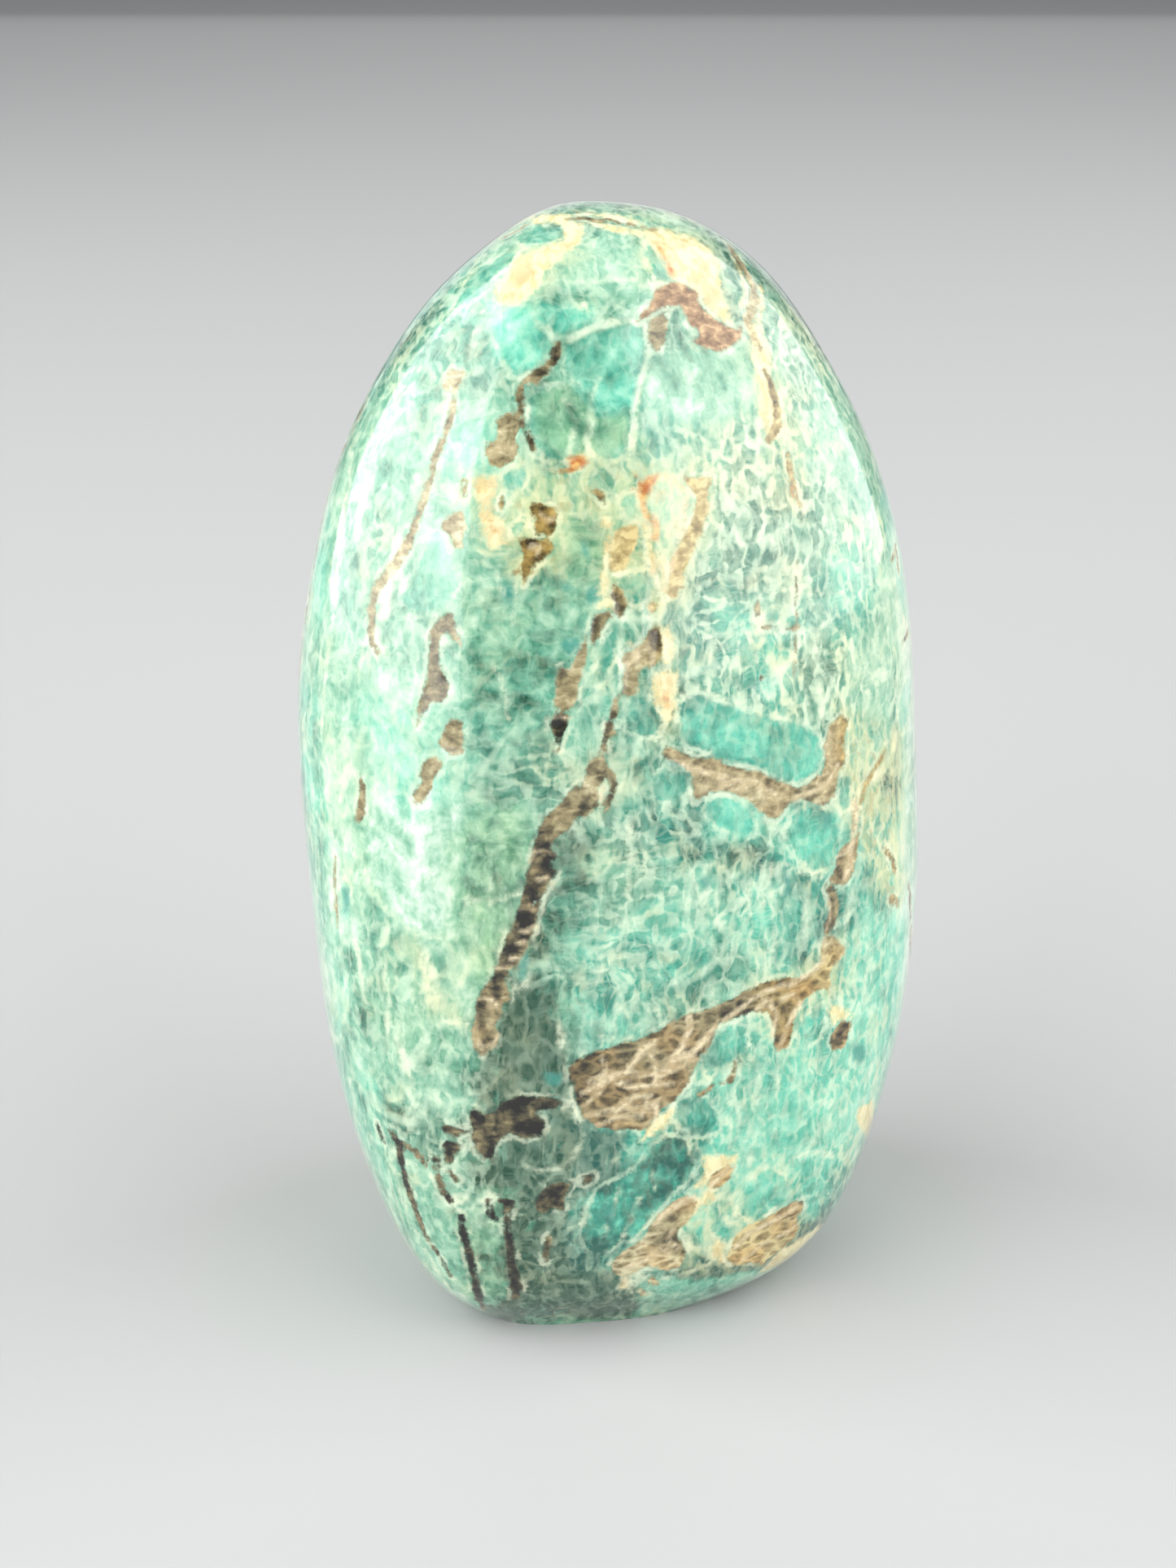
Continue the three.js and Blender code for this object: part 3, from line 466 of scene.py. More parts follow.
# soft fields: value, softness in mm, outline. The first field mixes the stone's own paler and darker areas with painted
# light and shade: lighter strips along the rims, a painted reflection on the left and a darker lower part, each marked
# below.
FFIELDS = {
 "tone_and_painted_light": [
  (-.18, 4, [(360,240),(1130,240),(1130,1640),(360,1640)]),
  # painted shade: the lower half darker, standing for the light falling off toward the foot
  (-.34, 6, [(620,1160),(1130,1100),(1130,1640),(560,1640)]),
  (-.30, 3.0, [(860,960),(1060,960),(1060,1420),(1000,1500),(860,1440),(850,1330),(960,1250),(1000,1190),(900,1200)]),
  (-.10, 3.0, [(800,340),(960,330),(1060,500),(1110,720),(1110,860),(1000,870),(850,840),(830,740),(870,600),(800,560)]),
  (-.20, 1.0, [(640,650),(690,640),(740,650),(736,740),(716,800),(690,820),(676,880),(660,922),(600,925),(574,905),(573,740),(600,720)]),
  (-.30, 2.5, [(575,915),(700,925),(720,960),(690,1000),(640,1030),(600,1000),(575,960)]),
  # painted reflection: this pale area on the left stands for a light panel mirrored in the polish
  (.90, 1.6, [(433,1015),(442,1050),(452,1088),(474,1120),(501,1144),(522,1152),(556,1150),(572,1100),(575,1000),(568,960),(500,960),(455,960)]),
  (.05, 1.2, [(578,985),(650,990),(662,1010),(645,1070),(625,1150),(596,1210),(576,1180),(562,1152),(574,1080)]),
  (.62, 1.2, [(799,438),(821,432),(849,424),(872,430),(887,434),(901,425),(918,421),(930,450),(935,478),(935,493),(924,507),(901,518),(872,524),(843,518),(823,507),(800,495),(789,484),(795,464)]),
  (.36, 2.2, [(640,300),(700,290),(790,300),(800,340),(790,372),(700,368),(640,372)]),
  (-.18, 1.0, [(697,420),(722,404),(760,394),(793,393),(798,432),(787,470),(780,500),(778,545),(748,569),(723,562),(672,566),(650,541),(648,500),(670,474),(690,450)]),
  (.08, 2.5, [(560,440),(590,450),(622,480),(600,560),(580,600),(560,700),(500,760),(470,800),(440,800),(450,700),(480,600),(520,520)]),
  (-1.7, 4.0, [(606,1235),(636,1180),(680,1190),(720,1245),(716,1300),(700,1345),(600,1345),(582,1325),(604,1290)]),
  (-1.6, 3.0, [(590,1335),(700,1345),(760,1400),(756,1453),(722,1470),(700,1500),(700,1560),(626,1560),(618,1470),(585,1450),(578,1400)]),
  (-.60, 3.0, [(690,1010),(760,1000),(850,1000),(1010,1070),(1000,1180),(880,1235),(700,1300),(660,1200),(640,1180),(670,1090)]),
  (-.60, 1.2, [(807,1400),(843,1400),(857,1436),(826,1470),(795,1506),(756,1540),(728,1550),(700,1540),(700,1500),(722,1470),(756,1453)]),
  # painted shade: the bottom band by the foot darker, where little light reaches
  (-1.35, 3.0, [(618,1500),(640,1520),(720,1555),(780,1570),(900,1560),(1000,1500),(1060,1500),(900,1660),(600,1660),(500,1560)]),
  (.10, 3.0, [(1040,1000),(1120,980),(1120,1180),(1080,1330),(1040,1420),(1010,1400),(1040,1280),(1050,1120)]),
  # painted light: a lighter strip along the right rim
  (.95, 2.0, [(1092,560),(1150,600),(1150,1200),(1100,1340),(1092,1180),(1108,1000),(1108,800)]),
  (.25, 2.5, [(870,1330),(1000,1300),(1060,1300),(1040,1420),(1000,1500),(930,1470),(880,1430)]),
  # painted light: lighter along the left rim
  (.65, 1.4, [(392,870),(436,870),(446,1000),(452,1090),(440,1160),(400,1160)]),
  # painted light: a lighter strip along the upper left rim
  (.85, 1.4, [(400,480),(440,420),(500,340),(570,280),(640,248),(640,264),(580,298),(506,378),(440,486),(420,540),(396,560)]),
  # painted light: a lighter strip along the upper right rim
  (1.15, 1.4, [(900,268),(960,300),(1040,410),(1076,500),(1060,500),(1020,430),(950,335),(890,288)]),
  # painted light: a lighter patch at the left rim
  (.55, 1.5, [(380,800),(430,800),(438,872),(390,884)]),
  # painted light: a lighter patch at the right rim
  (.40, 2.0, [(1020,690),(1095,700),(1104,850),(1036,850)]),
  (.60, 2.0, [(1036,845),(1100,850),(1100,940),(1050,950),(1030,900)]),
  # painted light: a lighter strip along the lower left rim
  (.45, 1.2, [(395,1200),(424,1200),(450,1310),(494,1420),(470,1440),(430,1350),(400,1260)]),
  (.40, 1.0, [(780,1572),(860,1574),(960,1556),(1004,1526),(970,1580),(860,1610),(780,1618)]),
  # painted reflection: the same pale sheen carried up the left side
  (.34, 2.0, [(440,820),(572,820),(572,960),(440,960)]),
  # painted light: a lighter strip along the whole left rim
  (.42, 1.4, [(360,1000),(352,700),(392,500),(470,380),(560,290),(640,250),(640,262),(570,310),(490,400),(424,520),(386,700),(378,900),(392,1060),(412,1200),(440,1320),(486,1430),(540,1530),(600,1610),(560,1620),(440,1480),(380,1250)]),
  # painted light: a lighter strip along the lower left rim by the foot
  (.30, 1.2, [(450,1400),(500,1400),(530,1440),(556,1490),(574,1560),(590,1612),(560,1620),(500,1540),(450,1440)]),
  (-.25, 1.0, [(562,1470),(612,1466),(618,1530),(626,1600),(598,1606),(580,1560),(568,1510)]),
  # painted light: a lighter strip along the upper right rim
  (.85, 1.6, [(900,280),(1000,380),(1060,480),(1096,600),(1120,600),(1070,420),(990,300),(920,250)]),
  (.10, 1.2, [(835,860),(907,862),(964,878),(1010,905),(1008,945),(984,965),(900,938),(838,905)]),
  (.20, 1.2, [(860,975),(935,978),(965,1000),(1040,985),(1040,1075),(960,1075),(935,1035),(860,1035)]),
  (.12, 1.6, [(755,900),(830,895),(850,945),(850,985),(760,1000),(752,960)]),
  (-.20, 2.0, [(780,1000),(860,1035),(960,1075),(1010,1075),(1010,1195),(950,1200),(860,1130),(780,1080)]),
  (-.46, 2.0, [(690,1040),(780,1010),(800,1080),(760,1150),(720,1220),(660,1170),(670,1090)]),
  (.35, .9, [(600,372),(740,368),(745,394),(690,412),(660,450),(640,462),(612,440)]),
  (.06, 1.0, [(690,420),(790,396),(796,440),(782,500),(735,512),(706,478),(680,470),(688,440)]),
  (-.12, 1.0, [(652,484),(700,474),(735,512),(778,505),(776,545),(748,567),(690,566),(656,545)]),
  (.20, 1.5, [(800,585),(850,590),(850,640),(826,685),(806,680),(800,640)]),
  (.15, 2.5, [(1040,1180),(1110,1150),(1100,1340),(1050,1420),(1030,1300)]),
  # painted light: a slightly lighter strip along the upper left rim
  (.05, 2.0, [(590,420),(600,395),(560,420),(520,470),(470,560),(430,640),(400,760),(380,900),(372,900),(376,760),(420,560),(500,430),(580,340)]),
 ],
 "net": [
  (.55, 4, [(360,240),(1130,240),(1130,1640),(360,1640)]),
  (1.0, 4, [(850,560),(930,400),(1000,400),(1120,700),(1120,860),(1000,880),(850,850),(830,740)]),
  (.70, 3, [(830,980),(1010,1060),(1110,1000),(1110,1200),(1060,1420),(1000,1520),(860,1440),(850,1330),(960,1250),(1000,1190),(880,1230),(760,1270),(730,1180),(760,1020)]),
  (.25, 2, [(640,650),(690,640),(740,650),(736,740),(716,800),(690,820),(676,880),(660,922),(600,925),(574,905),(573,740),(600,720)]),
  # the net almost gone under the painted reflection on the left
  (.06, 2, [(433,1015),(452,1088),(501,1144),(562,1154),(640,1090),(664,1015),(640,990),(560,985),(460,990)]),
  (.15, 1.5, [(799,438),(849,424),(887,434),(918,421),(935,478),(924,507),(872,524),(823,507),(789,484)]),
  (.16, 3, [(600,1195),(690,1195),(730,1250),(700,1320),(690,1360),(600,1350)]),
  (.22, 2, [(590,1345),(700,1345),(760,1400),(756,1453),(700,1500),(700,1560),(626,1560),(600,1450)]),
  (.14, 1.5, [(807,1396),(845,1398),(857,1436),(826,1472),(795,1508),(756,1540),(704,1555),(700,1520),(722,1450),(756,1430)]),
  (.25, 2, [(660,1040),(724,1030),(710,1180),(640,1190)]),
  (.22, 2, [(578,985),(650,990),(662,1010),(645,1070),(625,1150),(596,1210),(576,1180),(574,1080)]),
  (.2, 3, [(560,1500),(640,1520),(720,1555),(780,1570),(900,1560),(1000,1500),(1060,1500),(900,1660),(600,1660),(500,1560)]),
  (.35, 2, [(697,420),(793,393),(798,432),(780,500),(778,545),(748,569),(672,566),(648,500)]),
 ],
 "lumpy": [
  (.12, 2, [(360,240),(1130,240),(1130,880),(360,880)]),
  (.35, 2, [(600,480),(650,480),(650,590),(580,590)]),
  (.60, 1.5, [(800,900),(1060,870),(1060,1220),(1000,1220),(1000,1020),(800,1010)]),
  (1.0, 1.5, [(690,1180),(1060,1180),(1060,1400),(690,1400)]),
  (.56, 1.5, [(640,920),(770,920),(770,1030),(700,1110),(640,1290),(560,1290),(600,1130)]),
  (.40, 1.5, [(520,1340),(700,1340),(700,1440),(520,1440)]),
  (1.0, 1.5, [(740,1420),(1000,1420),(1000,1580),(740,1600)]),
 ],
 "hue": [
  (.45, 1.0, [(697,420),(722,404),(760,394),(793,393),(798,432),(787,470),(780,500),(735,512),(700,478),(690,450)]),
  (-1, .9, [(652,484),(700,474),(735,512),(778,505),(776,545),(748,567),(690,566),(656,545)]),
  (.8, 1.0, [(600,372),(740,368),(745,394),(690,412),(660,450),(640,462),(612,440)]),
  (.9, 1.0, [(838,864),(852,853),(889,867),(947,884),(1008,907),(1010,929),(984,962),(924,941),(861,921),(835,881)]),
  (1, 1.2, [(966,1005),(998,985),(1024,998),(1036,1023),(1016,1067),(1004,1070),(974,1043)]),

  (-.5, 3, [(640,560),(760,560),(900,560),(900,640),(830,760),(740,740),(640,660)]),
  (.7, 3, [(690,1010),(860,1000),(1010,1050),(1110,1000),(1110,1420),(1040,1560),(700,1570),(720,1400),(690,1300)]),
  (-.1, 2, [(690,1040),(780,1010),(800,1080),(760,1150),(700,1220),(640,1190),(670,1090)]),
  (-.55, 2, [(600,1200),(690,1200),(724,1250),(700,1345),(590,1345)]),
  (-.4, 1.5, [(578,985),(650,990),(662,1010),(645,1070),(625,1150),(596,1210),(576,1180),(574,1080)]),
  (-.4, 2, [(590,1420),(700,1420),(700,1600),(560,1600)]),
  (.35, 1.5, [(360,1000),(352,700),(392,500),(470,380),(560,290),(600,300),(490,420),(440,520),(400,700),(392,900),(410,1060),(430,1200),(460,1320),(500,1430),(560,1530),(560,1620),(440,1480),(380,1250)]),
  (.8, 2, [(1060,1200),(1110,1150),(1100,1340),(1000,1500),(980,1440),(1040,1330)]),
  (1, 1.2, [(862,974),(912,974),(935,1000),(932,1030),(884,1030),(862,1010)]),
  (1, 1.2, [(966,1005),(998,985),(1024,998),(1036,1023),(1016,1067),(1004,1070),(974,1043)]),
  (1, 2.0, [(807,1390),(850,1390),(860,1440),(826,1475),(795,1510),(756,1545),(704,1560),(690,1520),(716,1440),(756,1420)]),
  (.35, 3, [(850,640),(1000,640),(1090,700),(1110,860),(1000,880),(850,850)]),
  (.5, 3, [(714,1160),(880,1150),(1000,1170),(1000,1200),(880,1235),(720,1290)]),
 ],
 "smoke": [
  (.58, 1.5, [(690,1180),(1060,1180),(1060,1400),(690,1400)]),
  (.64, 2, [(690,1270),(830,1250),(840,1300),(700,1330)]),
  (.44, 1.5, [(905,1205),(1030,1150),(1040,1225),(990,1250),(965,1262),(915,1250)]),
  (.36, 1.0, [(800,900),(1060,870),(1060,1010),(800,1010)]),
  (.30, 1.0, [(1000,1030),(1060,1030),(1060,1200),(1000,1200)]),
  (.60, .6, [(1006,1088),(1034,1088),(1034,1150),(1006,1150)]),
  (.30, 1.0, [(540,440),(630,440),(580,700),(440,830),(440,700)]),
  (.30, 1.0, [(600,490),(642,490),(642,580),(590,580)]),
  (.32, 1.0, [(630,615),(690,615),(690,720),(625,720)]),
  (.38, 1.0, [(670,750),(760,740),(740,880),(670,880)]),
  (.70, .8, [(672,876),(705,876),(700,925),(672,920)]),
  (.20, 1.0, [(740,640),(880,570),(880,740),(740,740)]),
  (.42, 1.2, [(755,765),(820,765),(820,860),(755,860)]),
  (.50, 1.2, [(735,850),(775,850),(755,930),(735,920)]),
  (.56, 1.5, [(640,920),(770,920),(770,1030),(640,1030)]),
  (.74, 1.5, [(640,1025),(700,1025),(690,1110),(600,1215),(580,1215)]),
  (.56, 1.5, [(570,1215),(640,1215),(630,1300),(570,1300)]),
  (.66, 1.0, [(520,1340),(700,1340),(700,1440),(520,1440)]),
  (.62, 1.0, [(450,1370),(510,1370),(545,1436),(600,1470),(680,1470),(660,1630),(560,1630)]),
  (.60, 1.0, [(655,1450),(735,1440),(735,1500),(655,1500)]),
  (.35, 1.0, [(750,1460),(870,1460),(850,1600),(750,1600)]),
  (.28, 1.0, [(890,1470),(995,1470),(990,1560),(890,1560)]),
  (.34, 1.0, [(500,750),(580,750),(580,1000),(500,1000)]),
  (.20, 1.0, [(890,295),(940,295),(940,430),(890,430)]),
 ],
 "horiz": [
  (-1, 1.2, [(900,270),(960,290),(1060,430),(1104,600),(1084,600),(1030,480),(950,350),(890,290)]),
  (-1, 1.2, [(400,440),(470,350),(560,270),(640,246),(640,262),(580,296),(506,376),(440,480)]),
  (-1, 1.5, [(340,400),(430,480),(412,600),(392,760),(388,900),(396,1100),(416,1260),(470,1420),(540,1560),(420,1500),(340,1200)]),
  (-1, 1.5, [(1090,600),(1150,600),(1150,1250),(1080,1360),(1090,1180),(1104,1000),(1106,800)]),
  (1, 2.5, [(573,640),(740,640),(740,760),(700,930),(740,960),(690,1010),(640,1040),(570,1040)]),
  (.8, 2.5, [(845,700),(1000,690),(1000,760),(850,790)]),
  (.6, 3, [(690,1010),(860,1000),(860,1180),(690,1240),(650,1180)]),
  (.5, 2, [(560,1460),(720,1460),(720,1600),(580,1600)]),
 ],
 "warm": [
  (.08, 4, [(850,560),(930,400),(1000,400),(1120,700),(1120,860),(1000,880),(850,850),(830,740)]),
  (.45, 2.0, [(640,560),(780,570),(780,600),(760,640),(730,650),(640,640)]),
  (.62, 2.0, [(735,560),(870,570),(880,640),(850,700),(830,760),(830,900),(806,910),(800,760),(740,720),(740,640),(690,610),(640,600),(640,580),(690,575)]),
  (.6, 2.0, [(640,300),(700,290),(720,310),(640,372),(600,376)]),
  (.6, 2.0, [(790,280),(870,290),(900,390),(870,390),(790,340)]),
  (.55, 2.0, [(925,400),(985,540),(990,620),(965,620),(940,545),(920,440)]),
  (.8, 1.6, [(1030,870),(1110,900),(1110,1110),(1080,1110),(1050,1000),(1030,930)]),
  (.5, 2.0, [(840,1500),(900,1420),(900,1480),(1000,1500),(960,1560),(840,1570)]),
  (.60, 1.5, [(920,1210),(1000,1180),(1036,1150),(1036,1220),(990,1250),(970,1295),(935,1262)]),
  (.5, 1.6, [(560,580),(630,580),(630,680),(590,690)]),
  (.15, 1.6, [(400,900),(450,900),(450,1020),(400,1020)]),
  (.55, 1.5, [(500,1150),(560,1240),(590,1270),(520,1240)]),
  (1.0, 1.2, [(636,612),(694,612),(694,704),(640,722),(622,700)]),
 ],
}

# ---- layout of the markings on the sides and the back -------------------------------------
# (angle round the stone in degrees, 0 is +X and 90 is +Y; height in mm)
RING = {
 "brown": [
  [(118,22),(112,30),(104,37),(95,43),(86,47),(80,45),(84,38),(92,33),(101,26),(110,19)],
  [(64,64),(60,72),(55,80),(49,84),(46,79),(51,71),(56,63),(60,60)],
  [(140,78),(136,85),(130,90),(126,88),(129,81),(134,75)],
  [(30,20),(24,26),(17,29),(12,26),(16,20),(24,15)],
  [(160,14),(154,21),(147,24),(144,20),(150,13)],
 ],
 "red": [
  [(104,104),(96,108),(88,106),(84,100),(90,98),(97,101),(102,99)],
 ],
 "cream": [
  [(96,109),(84,112),(72,108),(68,101),(76,99),(84,103),(92,104)],
  [(132,64),(128,72),(124,68),(126,60),(130,56)],
  [(40,36),(34,42),(28,40),(32,33),(37,31)],
 ],
 "rust": [
  [(71,70),(69,74),(66,73),(68,69)],
  [(122,46),(120,49),(117,48),(119,45)],
 ],
 "cell": [
  [(108,70),(100,78),(92,80),(88,72),(90,62),(98,58),(106,62)],
  [(84,84),(76,90),(70,86),(70,78),(77,74),(83,78)],
  [(76,34),(68,40),(62,36),(62,26),(70,22),(76,27)],
  [(134,40),(127,48),(121,44),(121,34),(128,30),(134,34)],
  [(40,56),(33,62),(27,58),(27,48),(34,44),(40,49)],
  [(14,52),(8,60),(2,58),(1,48),(7,42),(13,46)],
  [(8,84),(2,92),(-4,88),(-3,78),(3,74)],
  [(168,60),(162,70),(156,66),(156,52),(162,46),(168,51)],
  [(176,30),(170,38),(165,34),(166,24),(172,20)],
  [(150,96),(142,101),(134,97),(138,90),(146,90)],
  [(56,12),(48,17),(40,15),(42,8),(50,7)],
  [(98,12),(90,18),(82,16),(84,8),(92,7)],
 ],
 "deep": [
  [(99,70),(96,73),(93,71),(96,67)],
  [(70,32),(68,35),(65,33),(67,30)],
  [(7,52),(5,55),(3,53),(5,49)],
 ],
}
RLINES = {
 "brown": [
  [(102,98,.5),(98,90,.9),(97,82,.7),(101,74,1.0),(108,66,1.3),(111,58,1.1),(109,50,1.5),(104,42,1.8),(101,34,1.2)],
  [(46,82,.5),(44,90,.7),(40,97,.5),(33,102,.4)],
  [(56,62,.8),(52,54,.6),(50,46,.8),(44,38,.6),(40,28,.5),(41,18,.7),(38,8,.5)],
  [(146,76,.6),(150,66,.8),(149,56,.5),(154,46,.8),(157,34,.9),(155,24,.6)],
  [(84,46,.7),(76,50,.5),(68,56,.6),(62,62,.6)],
  [(20,70,.3),(18,80,.5),(13,88,.4)],
  [(172,84,.3),(175,72,.5),(173,60,.3),(178,48,.5),(176,40,.3)],
  [(190,100,.3),(188,92,.4),(192,80,.35),(189,66,.5),(191,54,.3)],
  [(-6,46,.3),(-2,38,.5),(4,30,.6),(12,26,.5)],
  [(70,10,.5),(68,20,.6),(72,27,.4)],
 ],
 "dark": [
  [(108,64,.6),(110,57,.6),(108,50,.8)],
  [(104,40,.9),(102,36,.5)],
  [(98,36,.8),(90,40,1.0)],
  [(56,66,.8),(52,76,.7)],
  [(132,84,.8),(130,87,.5)],
  [(150,18,.8),(148,21,.5)],
  [(22,22,.8),(18,25,.6)],
  [(155,40,.4),(157,32,.5)],
 ],
 "seam": [
  [(112,96,.4),(118,86,.3),(120,74,.4),(126,66,.3),(127,54,.4),(134,50,.3)],
  [(86,96,.3),(88,86,.4),(85,78,.3),(88,70,.4),(84,60,.3),(86,52,.4)],
  [(70,98,.4),(64,90,.3),(60,82,.5),(66,74,.3),(66,66,.4)],
  [(34,92,.3),(30,84,.4),(24,76,.3),(22,66,.4),(16,60,.3),(14,50,.4)],
  [(58,58,.3),(50,60,.4),(42,58,.3),(36,64,.4),(28,64,.3)],
  [(80,30,.4),(84,22,.3),(82,14,.5),(86,6,.3)],
  [(138,60,.3),(142,50,.4),(138,40,.3),(142,30,.5),(138,18,.3)],
  [(166,90,.3),(162,80,.4),(166,70,.3),(170,58,.4),(167,46,.3),(171,34,.4)],
  [(184,90,.4),(182,76,.5),(185,60,.4),(183,44,.5),(186,28,.4)],
  [(120,104,.5),(100,112,.4),(80,114,.5),(56,108,.4)],
  [(160,104,.3),(140,108,.4),(120,104,.3)],
  [(30,104,.4),(46,108,.3),(56,108,.4)],
  [(2,70,.4),(0,58,.5),(4,44,.4),(0,30,.5)],
  [(10,96,.4),(6,84,.4),(10,72,.3)],
  [(108,26,.4),(116,32,.3),(122,28,.4),(130,26,.3)],
  [(60,50,.3),(68,46,.4),(74,44,.3)],
 ],
 "rust": [
  [(104,96,.4),(100,92,.4)],
  [(50,60,.3),(51,56,.3)],
  [(86,102,.5),(80,104,.4)],
 ],
}
RFIELDS = {
 "tone_and_painted_light": [
  (.15, 6, [(140,30),(120,100),(100,104),(96,60),(110,28)]),
  (-.35, 5, [(110,56),(108,80),(86,82),(84,60),(96,54)]),
  (.3, 5, [(70,96),(50,104),(30,90),(40,66),(62,74)]),
  (-.3, 5, [(80,20),(78,42),(60,42),(58,20)]),
  (.3, 4, [(136,8),(134,26),(110,24),(108,6)]),
 ],
 "net": [
  (.95, 6, [(60,10),(64,60),(20,70),(6,40),(20,8)]),
  (.9, 6, [(170,30),(165,90),(135,90),(138,30)]),
  (.3, 5, [(110,56),(108,80),(86,82),(84,60),(96,54)]),
 ],
 "horiz": [
  (-1, 5, [(200,10),(200,104),(172,100),(170,60),(176,14)]),
  (-1, 5, [(8,20),(4,60),(8,90),(-8,90),(-10,50),(-6,20)]),
  (-1, 5, [(146,20),(150,60),(140,96),(128,90),(130,50),(126,24)]),
  (.8, 5, [(112,50),(110,84),(84,84),(84,56)]),
  (.7, 5, [(60,10),(58,30),(30,30),(30,8)]),
 ],
 "warm": [
  (.6, 4, [(108,98),(90,112),(66,104),(72,96),(90,100)]),
  (.6, 4, [(120,44),(112,60),(104,60),(104,44)]),
  (.5, 4, [(70,60),(66,76),(56,78),(56,58)]),
  (.5, 4, [(134,52),(132,76),(122,76),(122,54)]),
 ],
}


# ---- the surface, the same formula as the CAD solid's, in mm ------------------------------
HEIGHT = 120.0
STATION_Z = np.array([0, 1.2, 4.5, 11, 21, 34, 47, 60, 72, 84, 95, 104, 111, 116, 119, HEIGHT])
REACH_LEFT = np.array([13.8, 16.4, 19.5, 23.6, 27.3, 29.7, 30.7, 31.3, 30.9, 28.8, 25.6, 20.9, 15.6, 9.8, 4.9, 0])
REACH_RIGHT = np.array([19.7, 24.2, 28.7, 32.6, 35.8, 37.9, 38.4, 37.6, 36.6, 34.4, 30.5, 25.4, 20.4, 14.7, 8.2, 0])
REACH_FRONT = np.array([21.4, 22.1, 24.4, 26.3, 27.3, 27.0, 26.1, 24.8, 23.2, 21.1, 18.6, 15.5, 12.2, 8.3, 4.4, 0])
REACH_BACK = np.array([14.0, 16.8, 19.9, 22.4, 24.0, 24.6, 24.3, 23.4, 22.1, 20.2, 17.7, 14.7, 11.5, 7.9, 4.2, 0])
SQUARENESS = np.array([[0, 3.1], [6, 2.95], [16, 2.6], [40, 2.3], [90, 2.2], [HEIGHT, 2.15]])
SHEAR = np.array([[0, .12], [12, .13], [40, .15], [HEIGHT, .13]])
FLATS = [(214, 62, 26, 34, .7), (318, 58, 30, 30, .5), (20, 74, 24, 26, .6),
         (128, 50, 30, 30, .8), (62, 84, 26, 20, .6), (262, 98, 30, 16, .4)]
MIDDLE = np.array([3.559, -1.2236, 0.0])  # middle of the bounding box before it is brought home


def spline(xs, ys, level_end=False):
    n = len(xs)
    a, r = np.zeros((n, n)), np.zeros(n)
    a[0, 0] = a[-1, -1] = 1
    for i in range(1, n - 1):
        h0, h1 = xs[i] - xs[i - 1], xs[i + 1] - xs[i]
        a[i, i - 1:i + 2] = h0, 2 * (h0 + h1), h1
        r[i] = 6 * ((ys[i + 1] - ys[i]) / h1 - (ys[i] - ys[i - 1]) / h0)
    if level_end:
        h = xs[-1] - xs[-2]
        a[-1, -2:] = h, 2 * h
        r[-1] = -6 * (ys[-1] - ys[-2]) / h
    m = np.linalg.solve(a, r)

    def at(x):
        i = np.clip(np.searchsorted(xs, x, side="left") - 1, 0, n - 2)
        h = xs[i + 1] - xs[i]
        p, q = (xs[i + 1] - x) / h, (x - xs[i]) / h
        return p * ys[i] + q * ys[i + 1] + ((p ** 3 - p) * m[i] + (q ** 3 - q) * m[i + 1]) * h * h / 6
    return at


mean_reach = (REACH_LEFT + REACH_RIGHT) / 2
stations = np.r_[0, np.cumsum(np.hypot(np.diff(mean_reach), np.diff(STATION_Z)))]
stations /= stations[-1]


def surface(s, phi):
    z = np.clip(spline(stations, STATION_Z, True)(s), 0, HEIGHT)
    xl, xr, yf, yb = [np.maximum(spline(stations, t)(s), 1e-6)
                      for t in (REACH_LEFT, REACH_RIGHT, REACH_FRONT, REACH_BACK)]
    c, n = np.cos(phi), np.sin(phi)
    ease = lambda t: t * (1.5 - .5 * t * t)
    a = (xr + xl) / 2 + (xr - xl) / 2 * ease(c)
    b = (yb + yf) / 2 + (yb - yf) / 2 * ease(n)
    k = np.interp(z, SQUARENESS[:, 0], SQUARENESS[:, 1])
    r = (np.abs(c / a) ** k + np.abs(n / b) ** k) ** (-1 / k)
    for angle, z0, spread, rise, depth in FLATS:
        turn = (np.degrees(phi) - angle + 540) % 360 - 180
        r = r - depth * np.exp(-(turn / spread) ** 2 - ((z - z0) / rise) ** 2) * np.minimum(1, r / 20)
    shear = np.interp(z, SHEAR[:, 0], SHEAR[:, 1])
    return np.stack([r * c, r * n + shear * r * c, z + 0 * r], -1) - MIDDLE


RINGS, SIDES, FOOT_RINGS = 250, 368, 12
s_grid = (np.arange(RINGS) / RINGS)[:, None]
phi_grid = (2 * np.pi * np.arange(SIDES) / SIDES)[None, :]
grid = surface(s_grid + 0 * phi_grid, phi_grid + 0 * s_grid)
pole = np.array([0, 0, HEIGHT]) - MIDDLE
foot_mid = np.array([(REACH_RIGHT[0] - REACH_LEFT[0]) / 2, 0, 0]) - MIDDLE
foot = [foot_mid + (grid[0] - foot_mid) * (1 - k / FOOT_RINGS) for k in range(1, FOOT_RINGS)]

# surface normals of the rings, pointing out
du = np.roll(grid, -1, 1) - np.roll(grid, 1, 1)
dv = np.gradient(grid, axis=0)
ring_normals = np.cross(du, dv)
ring_normals /= np.linalg.norm(ring_normals, axis=-1, keepdims=True) + 1e-12

points = np.concatenate([grid.reshape(-1, 3), pole[None], np.concatenate(foot), foot_mid[None]])
normals = np.zeros_like(points)
normals[:RINGS * SIDES] = ring_normals.reshape(-1, 3)
normals[RINGS * SIDES] = 0, 0, 1
normals[RINGS * SIDES + 1:] = 0, 0, -1

